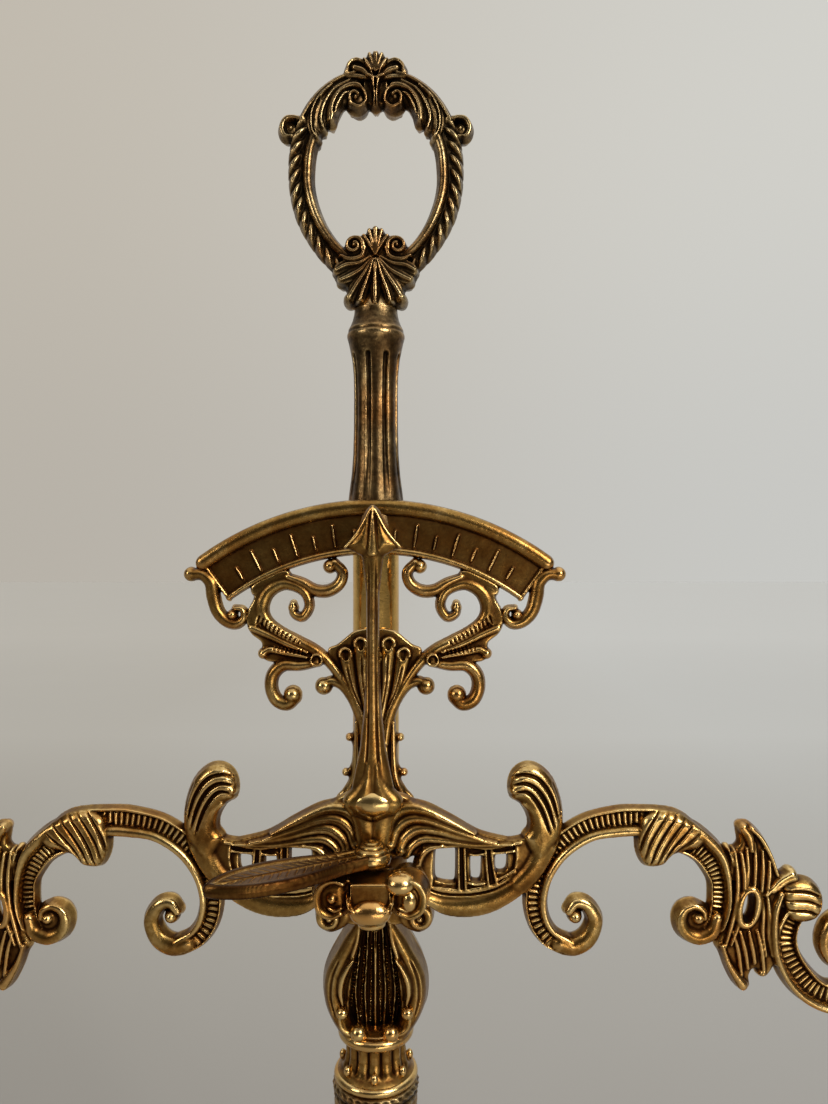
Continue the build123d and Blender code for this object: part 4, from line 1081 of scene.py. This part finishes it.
def block(low, high, round_over):
    """A closed block with rounded edges, sampled finely enough to soften."""
    low, high = np.array(low, float), np.array(high, float)
    step = 0.6
    axes = [np.arange(a - 2, b + 2, step) for a, b in zip(low, high)]
    x, y, z = np.meshgrid(*axes, indexing="ij")
    middle, half = (low + high) / 2, (high - low) / 2 - round_over
    off = [np.maximum(np.abs(v - m) - h, 0) for v, m, h in zip((x, y, z), middle, half)]
    field = np.sqrt(off[0] ** 2 + off[1] ** 2 + off[2] ** 2) - round_over
    field = np.where(field > -round_over, field, -round_over)
    points, quads = mesh_field(field)
    return points * step + low - 2, quads


# ---------------------------------------------------------------- lever -----
LEVER_HEADING = np.radians(210.0)  # at rest, from the right, seen from above
BLADE_HEIGHT = 331.3
VEIN_PITCH = 3.1  # between the engraved veins


def make_lever():
    """The lock lever: an engraved leaf-shaped blade with a bevelled rim, on a ringed domed hub."""
    relief = Relief((-8, -12), (64, 12), step=0.32)
    outline = [
        (-5.8, 0), (-4, 4.4), (1, 5.8), (6, 5.4), (14, 6.2), (26, 9.2), (38, 10.2), (49, 8.6), (57, 4.8),
        (61.4, 0),
    ]
    outline += [(x, -z) for x, z in outline[-2:0:-1]]
    relief.plate(outline, 1.5, 0.7)
    rim = [(4, 4.4), (14, 5), (26, 7.8), (38, 8.8), (49, 7.2), (56, 3.8), (59.8, 0)]
    for side in (-1, 1):
        relief.bar([(x, side * z) for x, z in rim], [1.2, 1.4, 1.6, 1.7, 1.6, 1.4, 1.2], 2.3, 1.2, 0.2)
        for start in np.arange(10, 54, VEIN_PITCH):
            reach = 5.6 if start < 40 else 5.6 - (start - 40) * 0.3
            tip = (start + 3.2, side * max(reach, 1.4))
            vein = [(start, side * 0.8), (start + 1.2, side * reach * 0.5), tip]
            relief.groove(vein, [0.26, 0.32, 0.2], 0.4)
    relief.bar([(5, 0), (30, 0), (59, 0)], [1.0, 0.8, 0.4], 1.95, 1.2, 0.2)
    points, quads = relief.solid(mirror=False)
    along, through, across = points.T
    turn = np.cos(LEVER_HEADING), np.sin(LEVER_HEADING)
    laid = [along * turn[0] - across * turn[1], along * turn[1] + across * turn[0], through + BLADE_HEIGHT]
    blade = on_lever_axis((np.stack(laid, axis=1), quads))
    hub = [
        (2.3, 328.5), (5.4, 328.5), (6.4, 329.4), (7, 330.8), (6.9, 332.2), (6.3, 333.2), (5.9, 333.2),
        (5.6, 334.2), (4.7, 335), (4.4, 334.9), (4.0, 335.7), (3.2, 336.2), (2.9, 336.1), (2.4, 336.8),
        (1.3, 337.2), (0.01, 337.3), (0.01, 331), (2.3, 331),
    ]
    parts = [blade, on_lever_axis(lathe(dense(hub, 0.25), None, 128))]
    build("lever_casting", "lock_lever", parts, "gilt_brass", "lever")


# ---------------------------------------------------------------- column ----
COLLAR_STRANDS, VASE_LEAVES, SHAFT_FLUTES, FOOT_LEAVES, GADROONS = 30, 8, 12, 10, 40


def make_collar():
    """The reeded bead ring between the lyre and the lower column."""
    low, high = node_box("bead_collar")
    outline = [
        (9, low[2]), (15.4, low[2]), (16.6, low[2] + 0.8), (16.9, low[2] + 2), (16.2, low[2] + 3.2),
        (16.9, low[2] + 4), (17.3, low[2] + 5.2), (16.6, high[2] - 0.6), (15.6, high[2]), (9, high[2]),
    ]

    def rope(radius, height, angle):
        keep = np.clip((radius - 16.3) / 0.5, 0, 1)
        return radius - 0.35 * keep * (0.5 - 0.5 * np.cos(COLLAR_STRANDS * angle + height * 1.6))

    turned = lathe(dense(outline, 0.3), rope, 300)
    build("collar", "bead_collar", [turned], "antique_brass", soften=0, cavity=(4, 20))


def leaf_ring(angle, height, count, low, high, phase=0.0):
    """Leaves that stand in a ring: for each place, how far inside a leaf it is, its share of the way
    from the midrib to the edge, and its share of a vein's height."""
    sector = 2 * np.pi / count
    off = ((angle + phase + sector / 2) % sector) / sector * 2 - 1
    rise = np.clip((height - low) / (high - low), 0, 1)
    width = 0.96 * np.sqrt(np.clip(1 - rise**2.6, 0, 1))
    lobes = 1 - 0.16 * np.abs(np.sin(rise * np.pi * 4.5))
    inside = np.clip((width * lobes - np.abs(off)) / 0.14, 0, 1)
    inside = inside * (height >= low) * (height <= high)
    veins = 0.5 + 0.5 * np.cos(2 * np.pi * (rise * 6 - np.abs(off) * 1.7))
    return inside, off, veins


def raised_leaves(angle, height, count, low, high, shape, behind):
    """How far a ring of leaves, and the ring behind it, stand out from the metal.

    shape is the leaf's height, its curl, its vein depth, its rib's height and its rib's share of the width.
    behind is the back leaves' top, their height and their vein depth.
    """
    crown, curl, vein, rib, rib_share = shape
    inside, off, veins = leaf_ring(angle, height, count, low, high)
    ridge = np.clip(1 - np.abs(off) / rib_share, 0, 1)
    leaf = inside * (crown - curl * off**2 - vein * veins) + rib * ridge * inside
    back_top, back_height, back_vein = behind
    back, _, back_veins = leaf_ring(angle, height, count, low, back_top, np.pi / count)
    return np.maximum(leaf, back * (back_height - back_vein * back_veins))


def make_lower_column():
    """The turned lower column: a leafy vase, a fluted shaft and ringed knops."""
    outline = [
        (6.5, 82), (20.4, 82), (21, 83.4), (21, 86), (19.6, 88), (16.4, 89.6), (13.4, 92), (12, 95.4),
        (12.6, 97), (14.6, 98.2), (15, 99.8), (14.4, 101.4), (12.6, 102.4), (12.4, 104), (14.6, 107.6),
        (18, 114), (20.2, 121.6), (20.8, 129), (19.8, 136), (17, 142.4), (13.6, 147), (11.6, 150),
        (11.4, 151.6), (13.4, 152.8), (14, 154.4), (13.4, 156), (11.4, 157.2), (11.2, 159), (10.6, 166),
        (10.2, 178), (10.2, 190), (10.8, 200), (11.8, 206), (12, 207.6), (14.2, 208.8), (14.8, 210.4),
        (14.2, 212), (12.6, 213.2), (12.6, 215), (14.4, 218.2), (16.4, 221), (16.6, 223.4), (15.6, 225),
        (6.5, 225),
    ]

    def ornament(radius, height, angle):
        leaf, behind = (1.1, 0.5, 0.35, 0.5, 0.1), (147, 0.55, 0.2)
        leaves = raised_leaves(angle, height, VASE_LEAVES, 104.4, 142, leaf, behind)
        shape = radius + band(height, 104, 149, 1.5) * (leaves - 0.4)
        off_flute = (((angle * SHAFT_FLUTES / (2 * np.pi)) % 1) - 0.5) * 2
        shape = shape - band(height, 160.5, 204.5, 1.5) * 1.1 * half_round(off_flute / 0.72)
        return shape + band(height, 214, 222, 1.2) * 0.6 * (np.abs(np.sin(angle * 10)) - 0.6)

    parts = [lathe(dense(outline, 0.45), outside_bore(ornament), 320)]
    for radius, height, size, count in ((14.9, 99.8, 1.15, 40), (14, 154.4, 1.1, 38), (14.8, 210.4, 1.1, 40)):
        parts += bead_row(radius, height, size, count)
    build("lower_column_casting", "lower_column", parts, "antique_brass", cavity=(5, 30))


def make_foot():
    """The bell-shaped foot casting with a ring of acanthus leaves, a gadrooned edge and a bead row."""
    outline = [
        (6.5, 26), (53.6, 26), (55, 27), (55, 30.6), (54, 32), (52.6, 32.6), (52.4, 33.8), (51, 37.4),
        (47.6, 40.6), (44.4, 42.2), (43.6, 43), (43.4, 44.6), (42.2, 46), (40.6, 46.6), (38.6, 47.4),
        (34, 50), (29.6, 53.6), (25.4, 58.4), (22.2, 64), (20, 70), (19, 75), (19, 76.4), (20.6, 77.4),
        (21.2, 78.8), (20.8, 80.4), (19.6, 81.4), (18, 82), (6.5, 82),
    ]

    def ornament(radius, height, angle):
        leaf, behind = (1.6, 0.7, 0.5, 0.7, 0.09), (76, 0.8, 0.3)
        leaves = raised_leaves(angle, height, FOOT_LEAVES, 46.6, 74, leaf, behind)
        shape = radius + band(height, 46.4, 76, 0.8, 1.0) * (leaves - 0.5)
        lobe = np.abs(np.sin(angle * GADROONS / 2 + (height - 33) * 0.06))
        return shape + band(height, 33.4, 42.4, 1.2) * 1.5 * (lobe**0.7 - 0.7)

    parts = [lathe(dense(outline, 0.45), outside_bore(ornament), 480)]
    parts += bead_row(42.9, 45.2, 1.35, 90)
    parts += bead_row(20.9, 78.9, 1.15, 48)
    build("foot", "foot_casting", parts, "antique_brass", cavity=(5, 30))


def make_plinth():
    """The moulded marble plinth."""
    low, high = node_box("plinth")
    outline = [
        (6.5, low[2]), (72.6, low[2]), (74.4, low[2] + 0.9), (75, low[2] + 2.6), (75, high[2] - 7),
        (74.2, high[2] - 5.6), (72.8, high[2] - 5.2), (72, high[2] - 4.4), (70.8, high[2] - 2),
        (68.2, high[2] - 0.4), (66, high[2]), (6.5, high[2]),
    ]
    build("plinth_stone", "plinth", [lathe(dense(outline, 1.0), None, 256)], "marble", soften=0)


# ---------------------------------------------------------------- pans ------
ROSETTE_PETALS, ROSETTE_RADIUS = 12, 5.6


def make_pan(side):
    """A dished pan with a beaded rim, turned rings inside it and a small rosette."""
    node = "pan_" + side
    low, high = node_box(node)
    centre = (low + high) / 2
    floor, rim = low[2], high[2]
    radius = (high[0] - low[0]) / 2
    outline = [
        (0.01, floor), (10, floor), (22, floor + 0.5), (34, floor + 2.1), (43.4, floor + 5.2),
        (50, rim - 3.6), (52.6, rim - 1.6), (radius - 0.2, rim - 1.2), (radius, rim - 0.6),
        (radius - 0.3, rim), (52.8, rim), (51.6, rim - 0.8), (49, rim - 2.9), (42.6, floor + 6.2),
        (33.6, floor + 3.2), (30.4, floor + 2.9), (29.6, floor + 2.4), (28.8, floor + 2.6),
        (22, floor + 1.6), (12, floor + 1.2), (10.8, floor + 1.6), (9.8, floor + 1.2), (0.01, floor + 1.2),
    ]
    parts = [lathe(dense(outline, 0.8), None, 200)]
    parts += bead_row(radius - 1.3, rim - 0.2, 1.0, 110)
    for turn in ring_turns(ROSETTE_PETALS):
        petal = (ROSETTE_RADIUS * np.cos(turn), ROSETTE_RADIUS * np.sin(turn), floor + 1.1)
        parts.append(bead(petal, 2.0, (1, 1, 0.35), 8))
    parts.append(bead((0, 0, floor + 1.2), 3.0, (1, 1, 0.5), 10))
    shift = np.array([centre[0], centre[1], 0])
    parts = [(points + shift, quads) for points, quads in parts]
    build("pan_" + side + "_dish", node, parts, "polished_brass", side + "_pan", soften=0)


# ---------------------------------------------------------------- materials -
class Graph:
    """Makes and joins the nodes of a material or of the room."""

    def __init__(self, owner):
        owner.use_nodes = True
        self.tree = owner.node_tree

    def add(self, kind, sockets=()):
        """A new node, whose sockets are set to values or joined to other nodes' outputs."""
        node = self.tree.nodes.new("ShaderNode" + kind)
        for socket, value in dict(sockets).items():
            if isinstance(value, bpy.types.NodeSocket):
                self.tree.links.new(value, node.inputs[socket])
            else:
                node.inputs[socket].default_value = value
        return node

    def math(self, kind, *values, clamp=False):
        """The result of one operation on values and outputs."""
        node = self.add("Math", enumerate(values))
        node.operation = kind
        node.use_clamp = clamp
        return node.outputs[0]

    def ramp(self, value, stops, interpolation="LINEAR"):
        """A colour ramp. stops are (position, colour) pairs, a colour being a grey level or (r, g, b)."""
        node = self.add("ValToRGB", {"Fac": value})
        ramp = node.color_ramp
        ramp.interpolation = interpolation
        while len(ramp.elements) < len(stops):
            ramp.elements.new(0.5)
        for element, (position, colour) in zip(ramp.elements, stops):
            element.position = position
            element.color = (colour,) * 3 + (1,) if isinstance(colour, float) else tuple(colour) + (1,)
        return node.outputs["Color"]

    def mix(self, kind, a, b, share=1.0):
        """Two colours joined, with the second at a share."""
        node = self.add("MixRGB", {"Fac": share, "Color1": a, "Color2": b})
        node.blend_type = kind
        return node.outputs["Color"]

    def axes(self, place):
        """The X, Y and Z of a place."""
        return self.add("SeparateXYZ", {"Vector": place}).outputs


class Paint(Graph):
    """Builds a procedural material node by node."""

    def __init__(self, name):
        self.material = bpy.data.materials.new(name)
        super().__init__(self.material)
        self.shader = self.tree.nodes["Principled BSDF"]
        self.place = self.add("TexCoord").outputs["Object"]

    def noise(self, scale, detail, roughness, stretch=None):
        """Cloudy noise over the piece, stretched along the axes if stretch is given."""
        place = self.place
        if stretch:
            place = self.add("Mapping", {"Scale": stretch, "Vector": place}).outputs["Vector"]
        sockets = {"Scale": scale, "Detail": detail, "Roughness": roughness, "Vector": place}
        return self.add("TexNoise", sockets).outputs["Fac"]

    def attribute(self, name):
        """A value stored on the mesh's vertices."""
        node = self.add("Attribute")
        node.attribute_name = name
        return node.outputs["Fac"]

    def bump(self, height, distance):
        """A fine unevenness of the surface."""
        node = self.add("Bump", {"Distance": distance, "Strength": 1.0, "Height": height})
        self.join(node.outputs["Normal"], "Normal")

    def join(self, output, socket):
        """An output joined to the shader."""
        self.tree.links.new(output, self.shader.inputs[socket])


def cast_brass(name, colours, hollow, rough, grain, wear, warmth):
    """Cast brass with patina and painted shade in its hollows and a painted highlight on its high edges:
    colours run from the deepest hollow to the high edges.

    hollow holds the weight of the fine hollows, the weight of the broad ones, and the level of flat metal.
    rough runs from dull to bright metal, grain is the height of the grit in metres, wear is how patchy the
    patina is, and warmth is the tint of its rusty patches.
    """
    paint = Paint(name)
    fine = paint.math("MULTIPLY", paint.attribute("fine_hollow"), -hollow[0])
    broad = paint.math("MULTIPLY", paint.attribute("broad_hollow"), -hollow[1])
    level = paint.math("ADD", paint.math("ADD", fine, broad), hollow[2])
    patches = paint.math("MULTIPLY", paint.math("SUBTRACT", paint.noise(90, 5, 0.6), 0.5), wear)
    specks = paint.math("MULTIPLY", paint.math("SUBTRACT", paint.noise(560, 4, 0.65), 0.5), wear * 0.85)
    level = paint.math("ADD", paint.math("ADD", level, patches), specks, clamp=True)
    # The colour ramp paints patina and painted shade into the hollows, and a painted highlight on the high
    # edges.
    stops = list(zip((0.0, 0.22, 0.48, 0.72, 1.0), colours))
    rust = paint.ramp(paint.noise(48, 5, 0.6), [(0.42, (1.0, 1.0, 1.0)), (0.66, warmth)])
    paint.join(paint.mix("MULTIPLY", paint.ramp(level, stops), rust), "Base Color")
    mottled = paint.math("MULTIPLY", paint.noise(240, 4, 0.6), 0.35)
    shine = paint.math("ADD", paint.math("MULTIPLY", level, 0.65), mottled)
    paint.join(paint.ramp(shine, [(0.1, rough[0]), (0.45, rough[1]), (0.9, rough[2])]), "Roughness")
    grit = paint.math("ADD", paint.noise(900, 4, 0.6), paint.math("MULTIPLY", paint.noise(160, 3, 0.5), 2.0))
    paint.bump(grit, grain)
    paint.shader.inputs["Metallic"].default_value = 1.0
    return paint.material


def marble_stone():
    """Dark green marble with pale veins."""
    paint = Paint("marble")
    cloud = paint.noise(16, 8, 0.62)
    vein = paint.math("ABSOLUTE", paint.math("SUBTRACT", paint.noise(11, 9, 0.66, (1, 1, 2.2)), 0.5))
    fine = paint.math("ABSOLUTE", paint.math("SUBTRACT", paint.noise(34, 7, 0.6), 0.5))
    lines = paint.math("ADD", paint.math("MULTIPLY", vein, 9.0), paint.math("MULTIPLY", fine, 2.4))
    shade = paint.math("MULTIPLY", cloud, 0.45)
    tone = paint.math("ADD", paint.math("MULTIPLY", lines, 0.7), shade, clamp=True)
    stops = [
        (0.18, (0.55, 0.56, 0.5)), (0.27, (0.2, 0.24, 0.19)), (0.45, (0.06, 0.095, 0.07)),
        (0.9, (0.022, 0.04, 0.032)),
    ]
    paint.join(paint.ramp(tone, stops), "Base Color")
    paint.join(paint.ramp(cloud, [(0.2, 0.2), (0.8, 0.34)]), "Roughness")
    paint.bump(paint.noise(420, 3, 0.5), 0.00003)
    paint.shader.inputs["Coat Weight"].default_value = 0.3
    return paint.material


def bright_steel():
    """Turned steel with faint rings of roughness and a little staining."""
    paint = Paint("steel")
    stain = paint.noise(130, 5, 0.6)
    paint.join(paint.ramp(stain, [(0.3, (0.2, 0.19, 0.18)), (0.6, (0.46, 0.46, 0.46))]), "Base Color")
    paint.join(paint.ramp(paint.noise(700, 3, 0.5, (1, 1, 6)), [(0.2, 0.24), (0.8, 0.46)]), "Roughness")
    paint.bump(paint.noise(1100, 3, 0.5), 0.00002)
    paint.shader.inputs["Metallic"].default_value = 1.0
    return paint.material


FINISHES = {
    "gilt_brass": cast_brass(
        "gilt_brass",
        [
            (0.018, 0.007, 0.002), (0.07, 0.03, 0.008), (0.165, 0.086, 0.022), (0.31, 0.183, 0.05),
            (0.66, 0.46, 0.185),
        ],
        hollow=(2.6, 0.5, 0.5),
        rough=(0.56, 0.32, 0.19),
        grain=0.00007,
        wear=0.56,
        warmth=(0.86, 0.66, 0.5),
    ),
    "antique_brass": cast_brass(
        "antique_brass",
        [
            (0.012, 0.008, 0.004), (0.034, 0.021, 0.009), (0.1, 0.064, 0.027), (0.22, 0.148, 0.064),
            (0.42, 0.305, 0.145),
        ],
        hollow=(2.3, 0.6, 0.45),
        rough=(0.54, 0.36, 0.22),
        grain=0.00012,
        wear=1.05,
        warmth=(0.9, 0.62, 0.42),
    ),
    "polished_brass": cast_brass(
        "polished_brass",
        [(0.16, 0.08, 0.02), (0.36, 0.2, 0.05), (0.6, 0.37, 0.1), (0.72, 0.46, 0.14), (0.9, 0.64, 0.26)],
        hollow=(1.2, 0.3, 0.6),
        rough=(0.34, 0.19, 0.11),
        grain=0.00003,
        wear=0.4,
        warmth=(0.86, 0.76, 0.62),
    ),
    "marble": marble_stone(),
    "steel": bright_steel(),
}


def finish_hardware():
    """The hardware keeps its CAD shape and takes these finishes."""
    hardware = {
        "antique_brass": ["bun_feet"],
        "steel": ["tie_rod", "tie_washer", "tie_nut", "pivot_pin", "pivot_clip", "lever_shaft", "lever_clip"],
        "polished_brass": [
            "dial_screws", "pivot_collar", "beam_bushing", "pointer_rivets", "end_pins", "lock_cam",
        ],
        "gilt_brass": [],
    }
    for side in ("left", "right"):
        hardware["polished_brass"].append("stirrup_" + side)
        hardware["gilt_brass"].append("crown_" + side)
        hardware["gilt_brass"] += [f"chain_{side}_{strand}" for strand in (1, 2, 3)]
    for finish, nodes in hardware.items():
        for node in nodes:
            part = frame["nodes"][node]
            part.data.materials.clear()
            part.data.materials.append(FINISHES[finish])


# ---------------------------------------------------------------- the set ---
FLOOR_REACH = 12.0
LENS = 36.521739  # millimetres, on a sensor 36 mm wide
CAMERA_PLACE = (0.0152, -0.336, 0.441)


def add_floor():
    """A pale floor, painted darker near the scale as painted shade, and painted warmer and a little darker on
    the left as painted light.
    """
    paint = Paint("floor_paper")
    place = paint.axes(paint.place)
    across = paint.math("MULTIPLY", paint.math("ADD", place["X"], 0.7), 0.7, clamp=True)
    depth = paint.math("MULTIPLY", place["Y"], 0.25, clamp=True)
    # Painted light: the floor's colour is warmer and darker on the left.
    tint = paint.ramp(across, [(0.0, (0.85, 0.81, 0.735)), (1.0, (1.0, 1.0, 0.97))])
    # Painted shade: the floor's colour is darker near the scale.
    painted_shade_near_scale = [
        (0.08, (0.37, 0.36, 0.35)), (0.2, (0.5, 0.495, 0.48)), (0.42, (0.69, 0.69, 0.68)),
        (1.0, (0.79, 0.79, 0.78)),
    ]
    paint.join(paint.mix("MULTIPLY", paint.ramp(depth, painted_shade_near_scale), tint), "Base Color")
    paint.join(paint.ramp(paint.noise(3.0, 3, 0.5), [(0.3, 0.8), (0.7, 0.9)]), "Roughness")
    mesh = bpy.data.meshes.new("floor")
    corners = [(FLOOR_REACH * x, FLOOR_REACH * y, 0) for x, y in ((-1, -1), (1, -1), (1, 1), (-1, 1))]
    mesh.from_pydata(corners, [], [(0, 1, 2, 3)])
    mesh.materials.append(paint.material)
    floor = link("floor", mesh)


def add_room():
    """A pale grey wall behind the scale, a dim room in front of it and a bright ceiling."""
    world = bpy.data.worlds.new("room")
    bpy.context.scene.world = world
    graph = Graph(world)
    direction = graph.axes(graph.add("TexCoord").outputs["Generated"])

    def shade(axis, stops):
        """A soft colour ramp over one direction, whose positions run from -1 to 1."""
        share = graph.math("MULTIPLY_ADD", direction[axis], 0.5, 0.5)
        return graph.ramp(share, [((position + 1) / 2, colour) for position, colour in stops], "EASE")

    depth = shade("Y", [(-0.6, (0.05, 0.047, 0.044)), (0.2, (0.085, 0.08, 0.076)), (0.6, (0.56, 0.55, 0.52))])
    sides = shade("X", [(-0.5, (0.92, 0.87, 0.79)), (0.5, (1.12, 1.14, 1.13))])
    height = shade("Z", [(0.0, (0.92, 0.92, 0.94)), (0.5, (1.03, 1.02, 1.02))])
    ceiling = shade("Z", [(0.55, (0.0, 0.0, 0.0)), (0.85, (1.0, 1.0, 1.0))])
    plaster = shade("X", [(-1.0, (0.95, 0.95, 0.95)), (1.0, (1.35, 1.35, 1.35))])
    walls = graph.mix("MULTIPLY", graph.mix("MULTIPLY", depth, sides), height)
    background = graph.tree.nodes["Background"]
    graph.tree.links.new(graph.mix("MIX", walls, plaster, ceiling), background.inputs["Color"])
    background.inputs["Strength"].default_value = 1.0


def add_light(name, place, target, size, power, colour):
    """A soft oblong lamp at a place, turned to its target."""
    light = bpy.data.lights.new(name, "AREA")
    light.shape = "RECTANGLE"
    light.size, light.size_y = size
    light.energy = power
    light.color = colour
    lamp = link(name, light)
    lamp.location = place
    lamp.rotation_euler = (Vector(target) - Vector(place)).to_track_quat("-Z", "Y").to_euler()


def add_camera():
    """The camera stands level in front of the dial, a little to its right."""
    view = bpy.data.cameras.new("camera")
    camera = link("camera", view)
    view.sensor_fit = "HORIZONTAL"
    view.sensor_width = 36
    view.lens = LENS
    view.clip_start = 0.01
    camera.location = CAMERA_PLACE
    camera.rotation_euler = (np.pi / 2, 0, 0)
    bpy.context.scene.camera = camera


# ---------------------------------------------------------------- assembly --
make_beam()
make_dial()
make_pointer()
make_handle()
make_sleeve()
make_tube()
make_lyre()
make_head()
make_lever()
make_collar()
make_lower_column()
make_foot()
make_plinth()
make_pan("left")
make_pan("right")
finish_hardware()
add_floor()
add_room()
add_light("window", (0.7, -0.8, 0.95), (0, 0, 0.42), (0.35, 0.55), 10, (1.0, 0.98, 0.95))
add_light("lamp", (-0.8, -0.6, 0.8), (0, 0, 0.38), (0.2, 0.45), 2.6, (1.0, 0.95, 0.88))
add_light("table_glow", (0.35, -0.75, 0.16), (0.03, 0, 0.34), (0.5, 0.16), 1.1, (1.0, 0.93, 0.82))
add_camera()
bpy.context.scene.view_settings.view_transform = "Standard"
